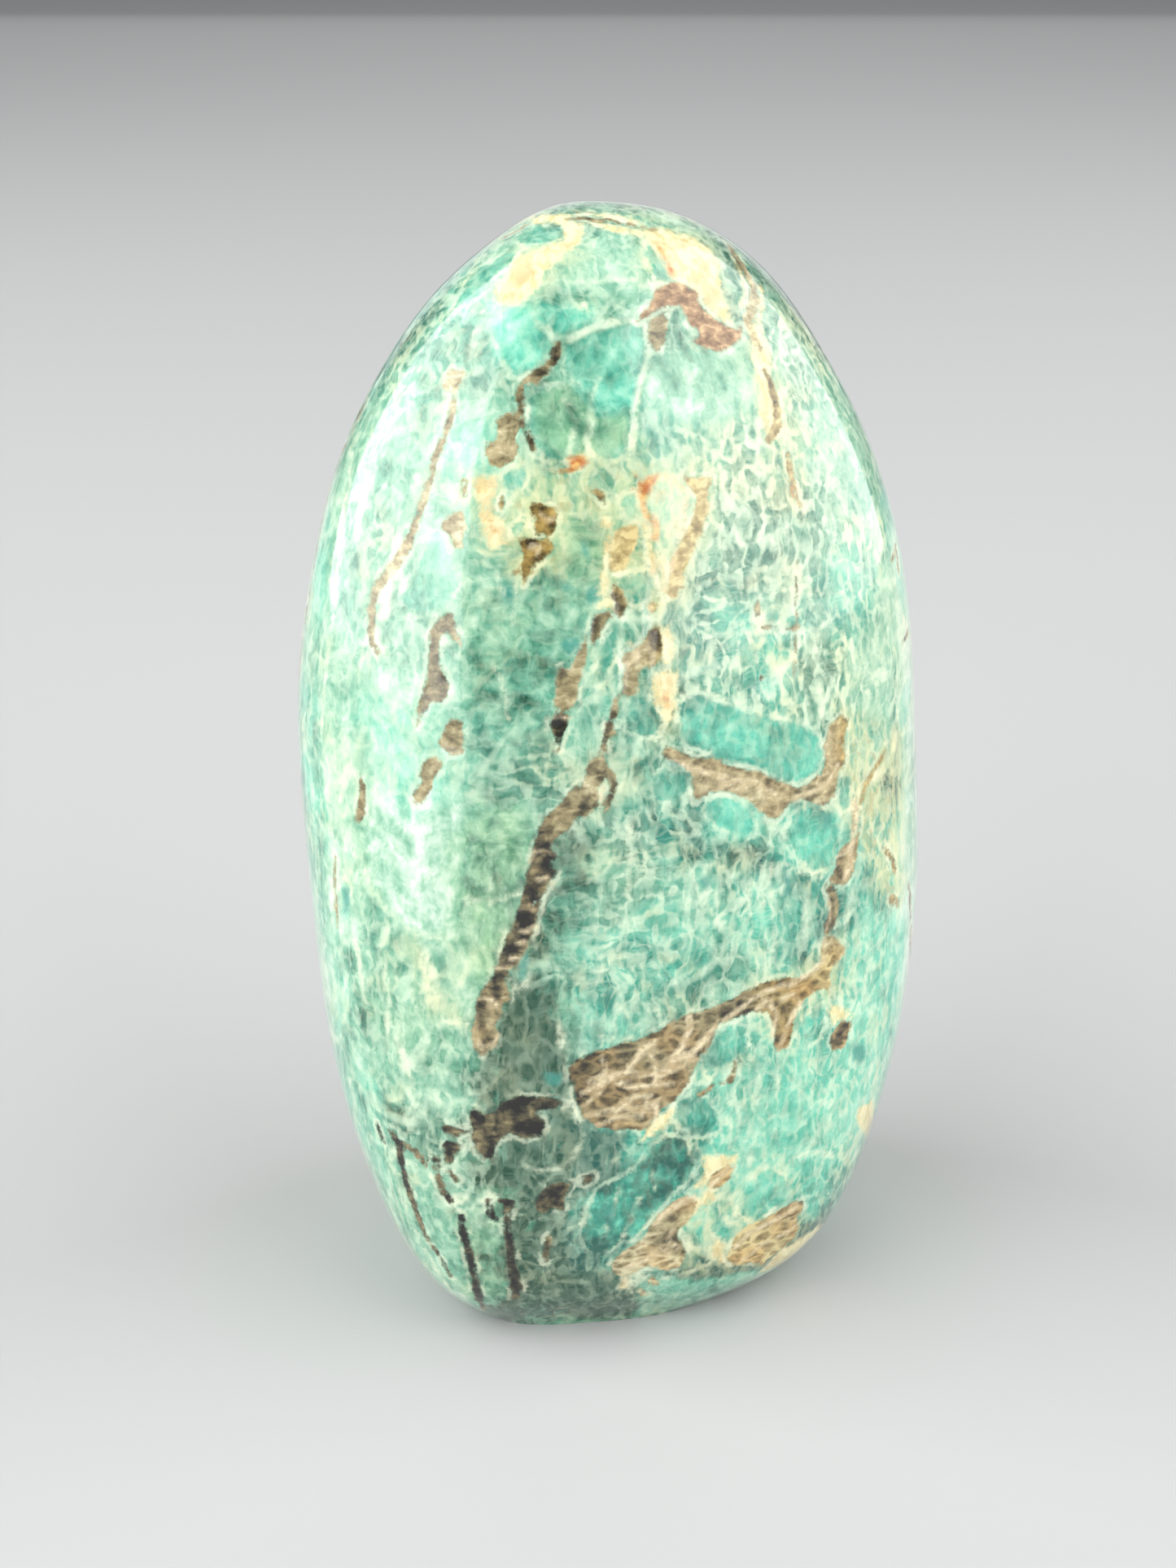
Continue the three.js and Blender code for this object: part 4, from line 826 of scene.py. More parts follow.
POLE = RINGS * SIDES
FOOT0 = POLE + 1
FOOT_MID = len(points) - 1
j0 = np.arange(SIDES)
j1 = (j0 + 1) % SIDES
faces, uvs = [], []
u0, u1, um = j0 / SIDES, (j0 + 1) / SIDES, (j0 + .5) / SIDES
v_of = lambda i: .1 + .9 * i / RINGS
for i in range(RINGS - 1):
    a, b = i * SIDES + j0, i * SIDES + j1
    faces += np.stack([a, b, b + SIDES, a + SIDES], 1).tolist()
    uvs.append(np.stack([u0, 0 * u0 + v_of(i), u1, 0 * u0 + v_of(i), u1, 0 * u0 + v_of(i + 1), u0, 0 * u0 + v_of(i + 1)], 1).reshape(-1))
a, b = (RINGS - 1) * SIDES + j0, (RINGS - 1) * SIDES + j1
faces += np.stack([a, b, 0 * a + POLE], 1).tolist()
uvs.append(np.stack([u0, 0 * u0 + v_of(RINGS - 1), u1, 0 * u0 + v_of(RINGS - 1), um, 0 * u0 + 1.0], 1).reshape(-1))
for k in range(FOOT_RINGS):
    outer = 0 if k == 0 else FOOT0 + (k - 1) * SIDES
    v0, v1 = .096 * (1 - k / FOOT_RINGS), .096 * (1 - (k + 1) / FOOT_RINGS)
    if k < FOOT_RINGS - 1:
        inner = FOOT0 + k * SIDES
        faces += np.stack([outer + j1, outer + j0, inner + j0, inner + j1], 1).tolist()
        uvs.append(np.stack([u1, 0 * u0 + v0, u0, 0 * u0 + v0, u0, 0 * u0 + v1, u1, 0 * u0 + v1], 1).reshape(-1))
    else:
        faces += np.stack([outer + j1, outer + j0, 0 * j0 + FOOT_MID], 1).tolist()
        uvs.append(np.stack([u1, 0 * u0 + v0, u0, 0 * u0 + v0, um, 0 * u0 + v1], 1).reshape(-1))
uvs = np.concatenate(uvs)

# ---- laying the markings on the surface ----------------------------------------------------
tree = BVHTree.FromPolygons([tuple(p) for p in points], faces)


def view_of(p):
    """Where points stand in the main view, in pixels."""
    q = p - EYE
    depth = q[:, 1] * math.cos(PITCH) - q[:, 2] * math.sin(PITCH)
    up = q[:, 1] * math.sin(PITCH) + q[:, 2] * math.cos(PITCH)
    return np.stack([MID_U + FOCAL * q[:, 0] / depth, MID_V - FOCAL * up / depth], 1)


seen = np.einsum("ij,ij->i", normals, EYE - points) > 0
in_view = view_of(points)
turned = np.stack([np.degrees(np.arctan2(points[:, 1], points[:, 0])), points[:, 2]], 1)
seen_index = np.nonzero(seen)[0]


def from_view(u, v):
    x, y = (u - MID_U) / FOCAL, (MID_V - v) / FOCAL
    ray = Vector((x, math.cos(PITCH) + y * math.sin(PITCH), -math.sin(PITCH) + y * math.cos(PITCH)))
    hit = tree.ray_cast(Vector(EYE), ray.normalized())
    if hit[0] is not None and hit[1].dot(ray) != 0 and hit[0].z > 1e-4:
        return np.array(hit[0])
    near = seen_index[np.argmin(((in_view[seen_index] - (u, v)) ** 2).sum(1))]
    return points[near]


def from_ring(angle, z):
    t = math.radians(angle)
    hit = tree.ray_cast(Vector((0, 0, z)), Vector((math.cos(t), math.sin(t), 0)))
    return np.array(hit[0]) if hit[0] is not None else np.array([0, 0, z])


def dense(chain, step):
    out = []
    for p, q in zip(chain[:-1], chain[1:]):
        n = max(1, int(math.ceil(math.hypot(q[0] - p[0], q[1] - p[1]) / step)))
        out += [tuple(np.array(p) + (np.array(q) - np.array(p)) * k / n) for k in range(n)]
    return out + [tuple(chain[-1])]


def inside(flat, poly):
    """Crossing test of points in a plane against a closed outline."""
    x, y = flat[:, 0], flat[:, 1]
    hit = np.zeros(len(flat), bool)
    for (xa, ya), (xb, yb) in zip(poly, poly[1:] + poly[:1]):
        if ya == yb:
            continue
        hit ^= ((ya > y) != (yb > y)) & (x < (xb - xa) * (y - ya) / (yb - ya) + xa)
    return hit


def near_chain(p, chain, widths=None):
    best = np.full(len(p), 1e9)
    for k in range(len(chain) - 1):
        a, b = chain[k], chain[k + 1]
        ab = b - a
        t = np.clip((p - a) @ ab / max(ab @ ab, 1e-9), 0, 1)
        d = np.linalg.norm(p - a - t[:, None] * ab, axis=1)
        if widths is not None:
            d = d - (widths[k] + t * (widths[k + 1] - widths[k]))
        best = np.minimum(best, d)
    return best


def around(chain, reach):
    lo, hi = np.min(chain, 0) - reach, np.max(chain, 0) + reach
    return np.nonzero(np.all((points >= lo) & (points <= hi), 1))[0]


def outline_distance(poly, lift, ring, reach=6.0):
    loop = poly + [poly[0]]
    chain = np.array([lift(*p) for p in dense(loop, 4.0 if ring else 22.0)])
    pick = around(chain, reach)
    d = near_chain(points[pick], chain)
    if ring:
        flat = turned[pick].copy()
        mean = sum(p[0] for p in poly) / len(poly)
        flat[:, 0] = mean + (flat[:, 0] - mean + 180) % 360 - 180
        hit = inside(flat, poly)
    else:
        hit = inside(in_view[pick], poly) & seen[pick]
    return pick, np.where(hit, -d, d)


def line_distance(line, lift, ring, reach=6.0):
    pts = dense([(p[0], p[1], p[2]) for p in line], 4.0 if ring else 22.0)
    chain = np.array([lift(p[0], p[1]) for p in pts])
    if ring:
        widths = [p[2] for p in pts]
    else:
        widths = [p[2] * np.linalg.norm(c - EYE) / FOCAL for p, c in zip(pts, chain)]
    pick = around(chain, reach)
    if len(chain) == 1:
        chain, widths = np.repeat(chain, 2, 0), widths * 2
    return pick, near_chain(points[pick], chain, widths)


def smooth(t):
    t = np.clip(t, 0, 1)
    return t * t * (3 - 2 * t)


# ---- noise on the vertices ------------------------------------------------------------------
def lattice(ix, iy, iz, seed):
    h = (ix * 374761393 + iy * 668265263 + iz * 2147483647 + seed * 1274126177) & 0xFFFFFFFF
    h = ((h ^ (h >> 13)) * 1274126177) & 0xFFFFFFFF
    return ((h ^ (h >> 16)) & 0xFFFF) / 65535.0


TURN = np.array([[.36, .48, -.8], [-.8, .6, 0], [.48, .64, .6]])


def value_noise(p, scale, seed, octaves=1):
    total = 0
    for octave in range(octaves):
        q = (p @ TURN) * scale * 2 ** octave + 1000.0 + 17.3 * octave
        i = np.floor(q).astype(np.int64)
        f = q - i
        f = f * f * (3 - 2 * f)
        out = 0
        for dx in (0, 1):
            for dy in (0, 1):
                for dz in (0, 1):
                    w = (f[:, 0] if dx else 1 - f[:, 0]) * (f[:, 1] if dy else 1 - f[:, 1]) * (f[:, 2] if dz else 1 - f[:, 2])
                    out = out + w * lattice(i[:, 0] + dx, i[:, 1] + dy, i[:, 2] + dz, seed + 31 * octave)
        total = total + (out - .5) / 2 ** octave
    return .5 + total / 1.4


def noise3(p, scale, seed, octaves):
    return np.stack([value_noise(p, scale, seed + k, octaves) for k in (0, 101, 202)], 1) - .5


def rough_edge(pick, ring):
    """How much the outline of a marking on the sides and the back wanders, in mm."""
    if not ring:
        return 0
    return 2.6 * (value_noise(points[pick], .42, 111, 3) - .5) + 1.3 * (value_noise(points[pick], .16, 113) - .5)


FAR = 6.0
marks = {}
for name in ("brown", "red", "cream", "rust", "cell", "deep", "dark", "seam", "tan"):
    d = np.full(len(points), FAR)
    for table, lift, ring in ((FRONT, from_view, False), (RING, from_ring, True)):
        for poly in table.get(name, []):
            pick, e = outline_distance(poly, lift, ring)
            d[pick] = np.minimum(d[pick], e + rough_edge(pick, ring))
    for table, lift, ring in ((FLINES, from_view, False), (RLINES, from_ring, True)):
        for line in table.get(name, []):
            pick, e = line_distance(line, lift, ring)
            d[pick] = np.minimum(d[pick], e + rough_edge(pick, ring) * .6)
    marks[name] = np.clip(d, -FAR, FAR)
fields = {"tone_and_painted_light": 0.0, "net": .7, "horiz": 0.0, "warm": 0.0, "hue": 0.0, "smoke": .4, "lumpy": .3}
for name, start in fields.items():
    f = np.full(len(points), start)
    for table, lift, ring in ((RFIELDS, from_ring, True), (FFIELDS, from_view, False)):
        for value, soft, poly in table.get(name, []):
            pick, e = outline_distance(poly, lift, ring, 12.0)
            w = smooth(.5 - e / (2 * soft))
            f[pick] += (value - f[pick]) * w
    fields[name] = f

# crystals about 13 mm across, each with a tone and a grain of its own
warp = 1.4 * noise3(points, .30, 11, 2)
slow = points + warp + 13.0 * noise3(points, .10, 21, 2)
rng = np.random.default_rng(7)
seeds = np.stack(np.meshgrid(np.arange(-42, 46, 13.0), np.arange(-34, 38, 13.0), np.arange(-6, 130, 15.0), indexing="ij"), -1).reshape(-1, 3)
seeds = seeds + rng.uniform(-6, 6, seeds.shape)
first, second, which = np.full(len(points), 1e9), np.full(len(points), 1e9), np.zeros(len(points), int)
for k, c in enumerate(seeds):
    d = np.linalg.norm((slow - c) * (1, 1, .8), axis=1)
    closer = d < first
    second = np.where(closer, first, np.minimum(second, d))
    which = np.where(closer, k, which)
    first = np.where(closer, d, first)
crystal_edge = (second - first) / 2
tone_of, lie_of, hue_of = rng.random(len(seeds)), rng.random(len(seeds)), rng.random(len(seeds))
front = smooth((normals @ np.array([0, -1, 0]) + .1) / .5)
cloud = value_noise(slow, .09, 31, 3)
patch = value_noise(slow, .22, 41, 3)
# the tone takes in the first soft field on the front, with its painted light and shade: lighter rims, the painted
# reflection on the left, a darker lower part
marks["f_tone"] = .40 + .55 * (cloud - .5) + (.16 - .06 * front) * (tone_of[which] - .5) + .42 * fields["tone_and_painted_light"] + .30 * (patch - .5)
marks["f_net"] = np.clip(fields["net"] * (.55 + .9 * value_noise(points, .16, 51, 2)), 0, 1.1)
marks["f_lie"] = fields["horiz"] + (1 - front) * (lie_of[which] > .72) * .9
marks["f_warm"] = np.clip(fields["warm"] + (1 - front) * smooth((value_noise(slow, .06, 61, 2) - .58) / .12) * .5, 0, 1)
marks["f_hue"] = np.clip(fields["hue"] + 1.5 * (value_noise(slow, .07, 71, 2) - .5) + .3 * (hue_of[which] - .5), -1, 1)
marks["f_smoke"] = fields["smoke"] + .5 * (value_noise(points, .15, 81, 2) - .5)
marks["f_lumpy"] = fields["lumpy"]
marks["f_width"] = value_noise(points, .33, 91, 2)
marks["f_breaks"] = value_noise(points + warp, .75, 93, 2)
marks["f_grain"] = crystal_edge

# ---- the small relief: grinding waves, veins worn a little lower, pits ----------------------
relief = -.07 - .16 * value_noise(points, .055, 3) - .05 * value_noise(points, .16, 5)
vein = smooth(.5 - marks["brown"] / .5)
relief -= vein * (.05 + .12 * value_noise(points, 1.1, 7) * value_noise(points, .5, 8))
relief -= smooth(.5 - marks["cream"] / .6) * .04 * value_noise(points, 1.0, 9)
relief -= smooth(.5 - marks["seam"] / .5) * .035
spots = np.random.default_rng(41)
on_side = np.arange(RINGS * SIDES)
PITS = [from_view(855, 490), from_view(826, 484), from_view(889, 492), from_view(938, 833), from_view(905, 470),
        from_view(590, 975), from_view(622, 1066), from_view(470, 1290), from_view(764, 1572), from_view(640, 1345)]
PITS += [points[k] for k in spots.choice(on_side, 60, replace=False)]
for k, c in enumerate(PITS):
    d = np.linalg.norm((points - c) * (1, 1, .7 + .3 * (k % 3)), axis=1)
    size = .8 + .5 * spots.random()
    relief -= (.16 if k < 10 else .09 * spots.random()) * np.exp(-(d / size) ** 2)
relief = np.maximum(relief, -.6)
edge = np.minimum(1, points[:, 2] / 2.0)
side = np.arange(len(points)) <= POLE
points[side] += normals[side] * (relief * np.where(edge > 0, edge, 0) - .07 * (1 - edge))[side, None]
points[:, 2] = np.clip(points[:, 2], 0, HEIGHT)
points[:SIDES, 2] = 0
for k in range(1, FOOT_RINGS):
    points[FOOT0 + (k - 1) * SIDES:FOOT0 + k * SIDES] = foot_mid + (points[:SIDES] - foot_mid) * (1 - k / FOOT_RINGS)

mesh = bpy.data.meshes.new("amazonite_stone")
mesh.from_pydata((points / 1000.0).tolist(), [], faces)
layer = mesh.uv_layers.new(name="OFBake")
layer.data.foreach_set("uv", uvs.astype(np.float32))
for name, values in marks.items():
    attribute = mesh.attributes.new(name, "FLOAT", "POINT")
    attribute.data.foreach_set("value", values.astype(np.float32))
attribute = mesh.attributes.new("f_warp", "FLOAT_VECTOR", "POINT")
attribute.data.foreach_set("vector", warp.astype(np.float32).reshape(-1))
# runs up the meridians, for the banding near the rims
turn_of = np.arctan2(points[:, 1] + warp[:, 1] * .6, points[:, 0] + warp[:, 0] * .6)
along = np.stack([26 * np.cos(turn_of), 20 * np.sin(turn_of), points[:, 2] * .09], 1)
attribute = mesh.attributes.new("f_along", "FLOAT_VECTOR", "POINT")
attribute.data.foreach_set("vector", along.astype(np.float32).reshape(-1))
mesh.polygons.foreach_set("use_smooth", [True] * len(mesh.polygons))
sharp = mesh.attributes.new("sharp_edge", "BOOLEAN", "EDGE")
ends = np.zeros(len(mesh.edges) * 2, np.int32)
mesh.edges.foreach_get("vertices", ends)
ends = ends.reshape(-1, 2)
sharp.data.foreach_set("value", (np.max(ends, 1) < SIDES).tolist())
mesh.update()
stone = bpy.data.objects.new("amazonite_stone", mesh)
scene.collection.objects.link(stone)
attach(stone, "root")
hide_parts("stone")


# ---- material ---------------------------------------------------------------------------
def lin(r, g, b):
    f = lambda c: c / 255 / 12.92 if c <= 10.31 else ((c / 255 + .055) / 1.055) ** 2.4
    return (f(r), f(g), f(b), 1.0)


class Nodes:
    """Short hand for building a node tree: every call adds one node and returns its output."""

    def __init__(self, material):
        self.tree = material.node_tree
        self.tree.nodes.clear()

    def new(self, kind, inputs=(), out=0, **settings):
        node = self.tree.nodes.new(kind)
        for key, value in settings.items():
            setattr(node, key, value)
        for key, value in dict(inputs).items():
            socket = node.inputs[key]
            if isinstance(value, bpy.types.NodeSocket):
                self.tree.links.new(value, socket)
            else:
                socket.default_value = value
        return node.outputs[out]

    def math(self, op, a, b=0.0, c=0.0, clamp=False):
        return self.new("ShaderNodeMath", {0: a, 1: b, 2: c}, operation=op, use_clamp=clamp)

    def add(self, a, b):
        return self.math("ADD", a, b)

    def sub(self, a, b):
        return self.math("SUBTRACT", a, b)

    def mul(self, a, b, clamp=False):
        return self.math("MULTIPLY", a, b, clamp=clamp)

    def mad(self, a, b, c, clamp=False):
        return self.math("MULTIPLY_ADD", a, b, c, clamp)

    def step(self, x, lo, hi, out_lo=0.0, out_hi=1.0):
        return self.new("ShaderNodeMapRange", {"Value": x, "From Min": lo, "From Max": hi, "To Min": out_lo, "To Max": out_hi},
                        interpolation_type="SMOOTHSTEP")

    def line(self, x, lo, hi, out_lo=0.0, out_hi=1.0):
        return self.new("ShaderNodeMapRange", {"Value": x, "From Min": lo, "From Max": hi, "To Min": out_lo, "To Max": out_hi})

    def vec(self, op, a, b=(0, 0, 0), scale=None):
        inputs = {0: a}
        if op == "SCALE":
            inputs["Scale"] = scale
        else:
            inputs[1] = b
        return self.new("ShaderNodeVectorMath", inputs, operation=op)

    def noise(self, vector, scale, detail=2.0, rough=.5, distortion=0.0, out=0):
        return self.new("ShaderNodeTexNoise", {"Vector": vector, "Scale": scale, "Detail": detail, "Roughness": rough, "Distortion": distortion}, out)

    def cells(self, vector, scale, feature="DISTANCE_TO_EDGE", out=0, randomness=1.0):
        return self.new("ShaderNodeTexVoronoi", {"Vector": vector, "Scale": scale, "Randomness": randomness}, out, feature=feature)

    def mix(self, factor, a, b, blend="MIX"):
        node = self.tree.nodes.new("ShaderNodeMix")
        node.data_type, node.blend_type = "RGBA", blend
        for socket, value in ((node.inputs[0], factor), (node.inputs[6], a), (node.inputs[7], b)):
            if isinstance(value, bpy.types.NodeSocket):
                self.tree.links.new(value, socket)
            else:
                socket.default_value = value
        return node.outputs[2]

    def blend(self, factor, a, b):
        return self.new("ShaderNodeMix", {0: factor, 2: a, 3: b}, 0, data_type="FLOAT")

    def ramp(self, factor, stops):
        node = self.tree.nodes.new("ShaderNodeValToRGB")
        ramp = node.color_ramp
        ramp.elements[0].position, ramp.elements[0].color = stops[0]
        ramp.elements[1].position, ramp.elements[1].color = stops[-1]
        for position, color in stops[1:-1]:
            ramp.elements.new(position).color = color
        self.tree.links.new(factor, node.inputs[0])
        return node.outputs[0]

    def field(self, name):
        return self.new("ShaderNodeAttribute", out=2, attribute_name=name, attribute_type="GEOMETRY")


material = bpy.data.materials.new("polished_amazonite")
material.use_nodes = True
g = Nodes(material)
P = g.vec("SCALE", g.new("ShaderNodeTexCoord", out=3), scale=1000.0)
tone_v, net, lie, warm, hue, smoke_v, lumpy, width, breaks, crystal = [
    g.field("f_" + n) for n in ("tone", "net", "lie", "warm", "hue", "smoke", "lumpy", "width", "breaks", "grain")]

fine = g.vec("SCALE", g.vec("SUBTRACT", g.noise(P, .8, 1, .5, out=1), (.5, .5, .5)), scale=.8)
N = g.vec("ADD", g.vec("ADD", P, g.new("ShaderNodeAttribute", out=1, attribute_name="f_warp")), fine)

# the lie of the grain: upright in most crystals, level in some, drawn out in bands near the rims
banded = g.math("LESS_THAN", g.add(lie, g.mul(g.sub(breaks, .5), .5)), -.5)
level = g.math("GREATER_THAN", g.add(lie, g.mul(g.sub(breaks, .5), .5)), .5)
lie_vector = g.new("ShaderNodeMix", {0: level, 4: (.72, .72, .38), 5: (.26, .5, .72)}, 1, data_type="VECTOR")
L = g.vec("MULTIPLY", N, lie_vector)
along = g.vec("ADD", g.new("ShaderNodeAttribute", out=1, attribute_name="f_along"), g.vec("MULTIPLY", fine, (.5, .5, .1)))
L = g.new("ShaderNodeMix", {0: banded, 4: L, 5: along}, 1, data_type="VECTOR")
mottle = g.noise(N, .55, 3, .6)
streak = g.noise(g.vec("MULTIPLY", L, (1.3, 1.3, .7)), 1.0, 2, .55)
edge = g.cells(L, 1.0)
cell_tone = g.new("ShaderNodeSeparateColor", {0: g.cells(L, 1.0, "F1", 1)})
weave_a = g.noise(g.vec("MULTIPLY", N, (1.1, 1.1, .28)), 1.0, 1, .5)
weave_b = g.noise(g.vec("MULTIPLY", N, (.22, .5, 1.9)), 1.0, 1, .5)

tone = g.add(tone_v, g.mul(g.sub(mottle, .5), g.step(net, .15, .75, .98, .56)))
tone = g.add(tone, g.mul(g.sub(streak, .5), g.step(net, .15, .75, .64, .36)))
tone = g.add(tone, g.mul(g.sub(cell_tone, .5), .11))
base = g.ramp(tone, [(0.0, lin(8, 68, 48)), (.2, lin(50, 116, 94)), (.42, lin(102, 163, 136)),
                     (.62, lin(144, 192, 163)), (.82, lin(192, 217, 197)), (1.0, lin(230, 239, 226))])
olive = g.ramp(tone, [(0.0, lin(18, 62, 36)), (.25, lin(84, 134, 96)), (.5, lin(138, 180, 132)), (.75, lin(182, 212, 164)), (1.0, lin(216, 232, 196))])
aqua = g.ramp(tone, [(0.0, lin(4, 84, 72)), (.25, lin(36, 140, 120)), (.5, lin(94, 194, 166)), (.75, lin(150, 222, 194)), (1.0, lin(206, 240, 214))])
base = g.mix(g.step(hue, 0, .8, 0, .9), base, aqua)
base = g.mix(g.step(hue, -.1, -.9, 0, .7), base, olive)

# the pale network between the cells
pale = g.mix(g.step(mottle, .35, .65), lin(178, 208, 180), lin(216, 234, 204))
pale = g.mix(g.step(width, .52, .70, 0, .45), pale, lin(232, 232, 186))
pale = g.mix(g.mul(warm, .85), pale, lin(248, 236, 188))
swell = g.noise(g.vec("MULTIPLY", N, (.95, .95, .5)), 1.0, 1, .5)
reach = g.add(g.mad(width, .16, .02), g.step(swell, .36, .70, 0, .34))
web = g.step(edge, g.mul(reach, .1), reach, 1.0, 0.0)
web = g.mul(web, g.mul(g.step(breaks, .12, .55, .3, 1), g.step(swell, .34, .56, .25, 1)))
weave = g.math("MAXIMUM", g.step(g.math("ABSOLUTE", g.sub(weave_a, .5)), .0, .17, 1.0, 0.0), g.step(g.math("ABSOLUTE", g.sub(weave_b, .5)), .0, .13, .7, 0.0))
web2 = g.mul(weave, g.step(breaks, .70, .35, .35, 1))
amount = g.math("MINIMUM", g.add(g.mul(web, g.mad(net, .70, .04)), g.mul(web2, g.mad(net, .30, .06))), .92)
color = g.mix(amount, base, pale)
color = g.mix(g.mul(g.step(crystal, .1, .5, 1.0, 0.0), g.mul(g.step(breaks, .4, .6, 0, .5), g.step(net, .05, .5, .1, 1))), color, pale)
# iron stain soaks the warm parts
color = g.mix(g.mul(g.mul(warm, g.step(streak, .40, .60)), .6), color, lin(214, 212, 158))
color = g.mix(g.mul(g.mul(warm, g.step(mottle, .52, .66)), .6), color, lin(158, 148, 100))

# listed cells: clearer, more saturated feldspar with a thin broken edge
jag = g.mad(g.noise(P, .75, 3, .6), 2.2, -1.1)
jag_fine = g.mad(g.noise(P, 2.0, 2, .6), .8, -.4)
jagged = lambda name, a=1.0, b=1.0: g.add(g.field(name), g.add(g.mul(jag, a), g.mul(jag_fine, b)))
cell = jagged("cell", .75, .75)
inner = g.ramp(tone, [(0.0, lin(12, 84, 70)), (.25, lin(54, 136, 114)), (.5, lin(106, 180, 154)), (.75, lin(152, 208, 182)), (1.0, lin(198, 232, 210))])
inner = g.mix(g.step(hue, 0, .8, 0, .9), inner, aqua)
inner = g.mix(g.step(hue, -.1, -.9, 0, .6), inner, olive)
inner = g.mix(g.mul(amount, .45), inner, pale)
color = g.mix(g.step(cell, -.3, .3, .85, 0), color, inner)
color = g.mix(g.mul(g.step(g.math("ABSOLUTE", g.sub(cell, .3)), .05, .5, 1, 0), g.step(breaks, .3, .65, .05, .65)), color, pale)
color = g.mix(g.step(jagged("deep", .3, .4), -.4, .4, .75, 0), color, g.mix(mottle, lin(36, 126, 116), lin(84, 162, 144)))

# cream feldspar and seams
seam = g.add(jagged("seam", .5, .8), .07)
color = g.mix(g.mul(g.step(seam, -.3, .5, 1, 0), g.step(breaks, .30, .62, .10, .7)), color, g.mix(warm, lin(228, 238, 206), lin(240, 230, 184)))
cream = jagged("cream", .75, 1.3)
cream_tone = g.mix(g.step(streak, .34, .58), lin(220, 204, 146), lin(242, 232, 182))
cream_tone = g.mix(g.mul(warm, g.step(mottle, .40, .60)), cream_tone, lin(190, 168, 122))
cream_tone = g.mix(g.step(jag_fine, .10, .24, 0, .5), cream_tone, lin(222, 176, 130))
color = g.mix(g.mul(g.step(cream, -.5, .4, 1, 0), g.step(mottle, .22, .5, .6, .97)), color, cream_tone)

# smoky quartz: dark in the middle of each lump, paler between, a broken pale rim round the vein
brown = jagged("brown", .42, .75)
dark = g.step(jagged("dark", .5, .6), -.7, .9, 1, 0)
lump_at = g.vec("ADD", P, g.vec("SCALE", fine, scale=.45))
lumps = g.cells(g.vec("MULTIPLY", lump_at, (.42, .55, .72)), 1.0)
smudge = g.noise(g.vec("MULTIPLY", g.vec("ADD", P, fine), (.75, 1, 1.25)), .95, 2, .6)
craze = g.mul(g.mul(g.step(lumps, .0, .19, 1.0, 0.0), g.step(smudge, .38, .58, .35, .9)), lumpy)
smoke = g.add(smoke_v, g.mul(g.sub(streak, .5), g.step(lumpy, .4, .9, .55, .25)))
smoke = g.add(smoke, g.mul(g.mul(g.sub(g.step(lumps, .05, .40), .3), lumpy), .20))
smoke = g.add(smoke, g.mad(g.sub(smudge, .5), 1.15, -.0))
smoke = g.add(smoke, g.mul(dark, .46))
smoke = g.sub(smoke, g.mul(craze, .23))
quartz = g.ramp(smoke, [(0.0, lin(216, 210, 172)), (.16, lin(184, 174, 136)), (.36, lin(148, 138, 102)), (.60, lin(98, 91, 64)), (.84, lin(44, 42, 29)), (1.0, lin(12, 12, 8))])
quartz = g.mix(g.mul(g.step(width, .40, .62, 1, .1), g.step(lumpy, .4, .9, .15, .85)), quartz, g.mix(1.0, quartz, lin(255, 234, 214), "MULTIPLY"))
quartz = g.mix(g.mul(warm, .8), quartz, g.mix(1.0, quartz, lin(250, 222, 138), "MULTIPLY"))
rim = g.mul(g.step(g.math("ABSOLUTE", g.sub(brown, .30)), .05, .42, 1, 0), g.step(breaks, .42, .66, 0, .45))
color = g.mix(rim, color, g.mix(.5, pale, lin(248, 240, 210)))
color = g.mix(g.step(brown, -.2, .22, 1, 0), color, quartz)
color = g.mix(g.mul(g.step(jagged("tan", .3, .45), -.34, .40, 1, 0), g.step(breaks, .18, .42, .6, 1.0)), color, g.mix(g.step(smudge, .34, .58), lin(186, 166, 128), lin(232, 216, 176)))
red = jagged("red", .3, .6)
color = g.mix(g.mul(g.step(g.math("ABSOLUTE", g.sub(red, .35)), .05, .45, 1, 0), g.step(breaks, .3, .6, .1, .6)), color, pale)
color = g.mix(g.step(red, -.2, .25, 1, 0), color, g.ramp(smudge, [(.34, lin(112, 82, 52)), (.46, lin(144, 112, 76)), (.56, lin(172, 138, 98)), (.66, lin(204, 172, 128))]))
rust = jagged("rust", .3, .6)
color = g.mix(g.step(rust, -.5, .35, .92, 0), color, g.mix(g.step(smudge, .36, .66), lin(180, 98, 36), lin(226, 172, 92)))

# gloss: polished feldspar, the quartz and the cut foot a little duller
normal_z = g.new("ShaderNodeSeparateXYZ", {0: g.new("ShaderNodeNewGeometry", out=3)}, 2)
under = g.step(normal_z, -.9, -.98)
vein_mask = g.step(brown, -.2, .3, 1, 0)
rough = g.mad(mottle, .14, .10)
rough = g.add(rough, g.mul(vein_mask, .14))
rough = g.add(rough, g.mul(under, .2))

height = g.add(g.mul(mottle, .3), g.mul(amount, -.25))
height = g.add(height, g.mul(vein_mask, g.mad(craze, .5, -.7)))
bump = g.new("ShaderNodeBump", {"Strength": .10, "Distance": .0002, "Height": height})

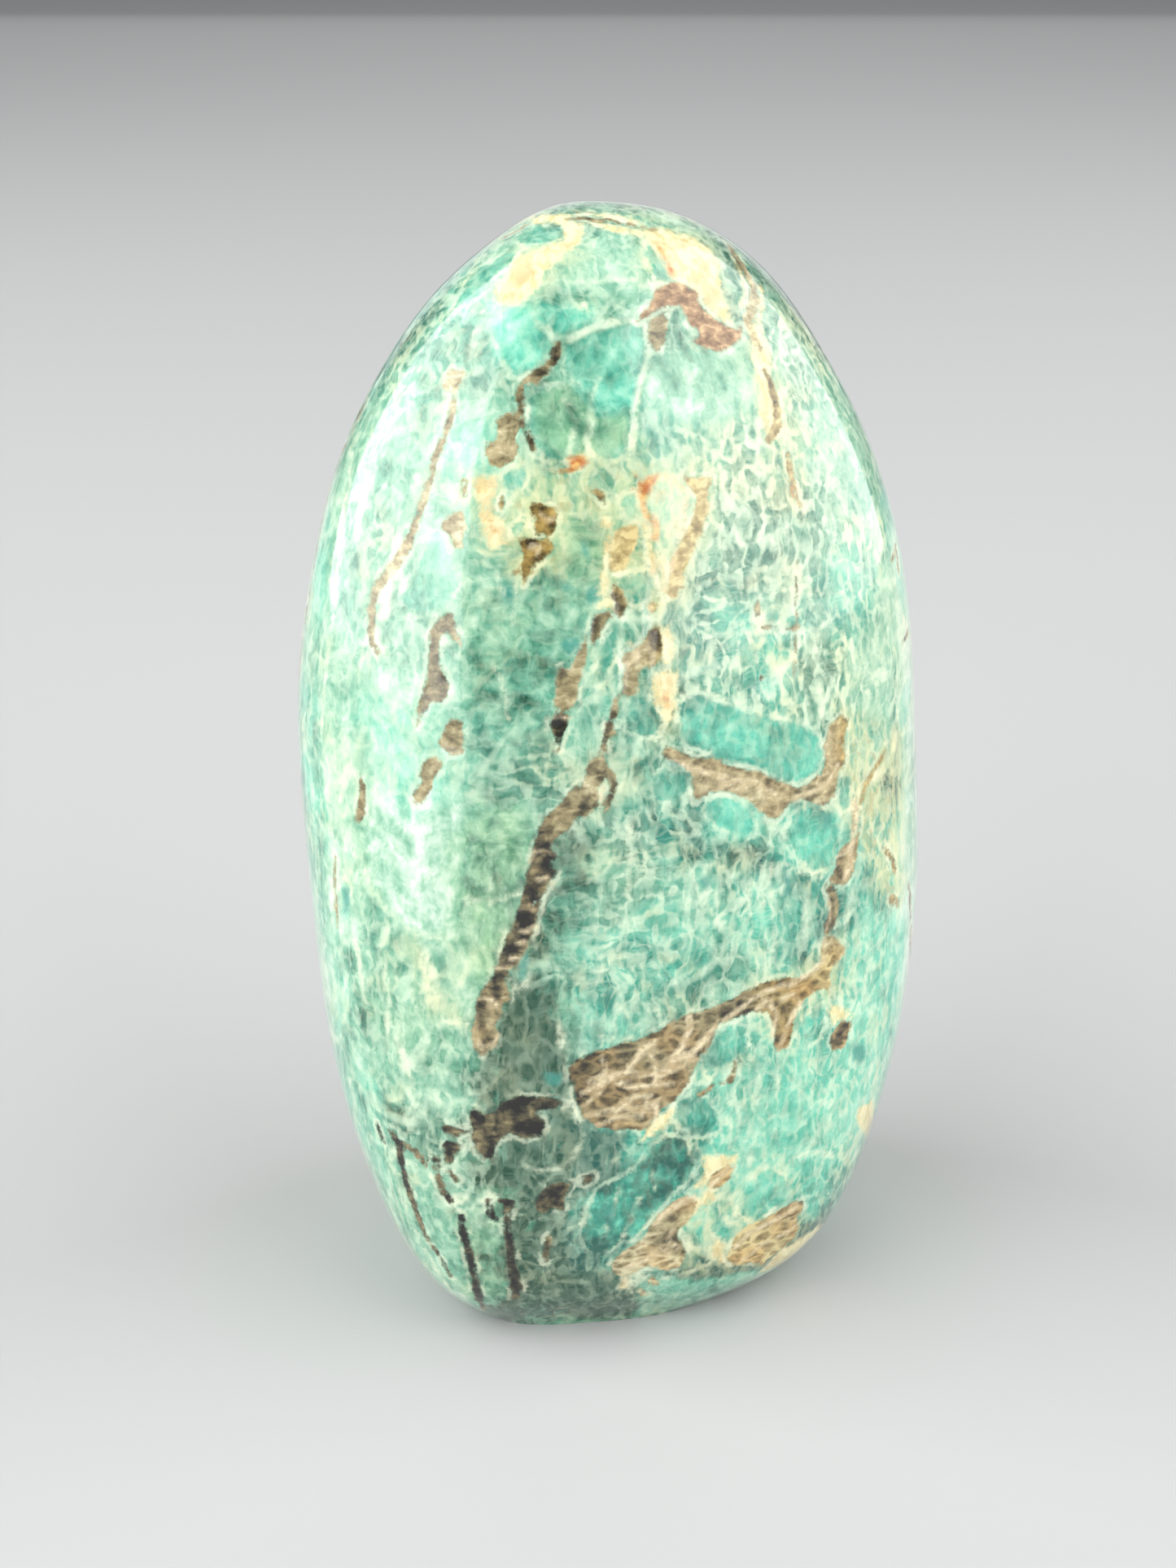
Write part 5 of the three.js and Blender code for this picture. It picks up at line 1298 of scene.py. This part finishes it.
principled = g.tree.nodes.new("ShaderNodeBsdfPrincipled")
g.tree.links.new(color, principled.inputs["Base Color"])
g.tree.links.new(rough, principled.inputs["Roughness"])
g.tree.links.new(bump, principled.inputs["Normal"])
principled.inputs["IOR"].default_value = 1.6
principled.inputs["Specular IOR Level"].default_value = .2
principled.inputs["Coat Weight"].default_value = 1.0
principled.inputs["Coat Roughness"].default_value = .05
principled.inputs["Coat IOR"].default_value = 1.5
output = g.tree.nodes.new("ShaderNodeOutputMaterial")
g.tree.links.new(principled.outputs[0], output.inputs[0])
mesh.materials.append(material)


# ---- floor, light, sky --------------------------------------------------------------------
floor_mesh = bpy.data.meshes.new("floor")
floor_mesh.from_pydata([(-60, -60, 0), (60, -60, 0), (60, 60, 0), (-60, 60, 0)], [], [(0, 1, 2, 3)])
floor = bpy.data.objects.new("floor", floor_mesh)
scene.collection.objects.link(floor)
floor.location.z = -.00005
floor_material = bpy.data.materials.new("floor")
floor_material.use_nodes = True
shader = floor_material.node_tree.nodes["Principled BSDF"]
shader.inputs["Base Color"].default_value = (.50, .50, .50, 1)
shader.inputs["Roughness"].default_value = .85
shader.inputs["Specular IOR Level"].default_value = .2
floor_mesh.materials.append(floor_material)


def panel(name, place, target, width, height, radiance, tint=(1, 1, 1)):
    """A soft rectangular panel of even radiance. Its width runs level."""
    data = bpy.data.lights.new(name, "AREA")
    data.shape = "RECTANGLE"
    data.size, data.size_y = width, height
    data.energy = radiance * math.pi * width * height
    data.color = tint
    lamp = bpy.data.objects.new(name, data)
    lamp.location = place
    lamp.rotation_euler = (Vector(target) - Vector(place)).to_track_quat("-Z", "Y").to_euler()
    lamp.visible_camera = False
    scene.collection.objects.link(lamp)


panel("left_panel", (-1.25, -1.3, 1.25), (0, -1.3, 1.25), 3.65, 2.5, 3.3)
panel("right_panel", (1.25, -.85, 1.25), (0, -.85, 1.25), 3.25, 2.5, 2.45)
panel("top_panel", (0, -.25, 2.75), (0, -.25, 0), 2.5, 2.5, .75)
panel("back_panel", (0, 2.4, 1.25), (0, 0, 1.25), 3.0, 2.25, .5)

world = bpy.data.worlds.new("studio")
world.use_nodes = True
world.node_tree.nodes["Background"].inputs[0].default_value = (.95, .98, 1.0, 1)
world.node_tree.nodes["Background"].inputs[1].default_value = .28
scene.world = world
scene.view_settings.view_transform = "Standard"
scene.view_settings.look = "None"

bpy.context.view_layer.update()
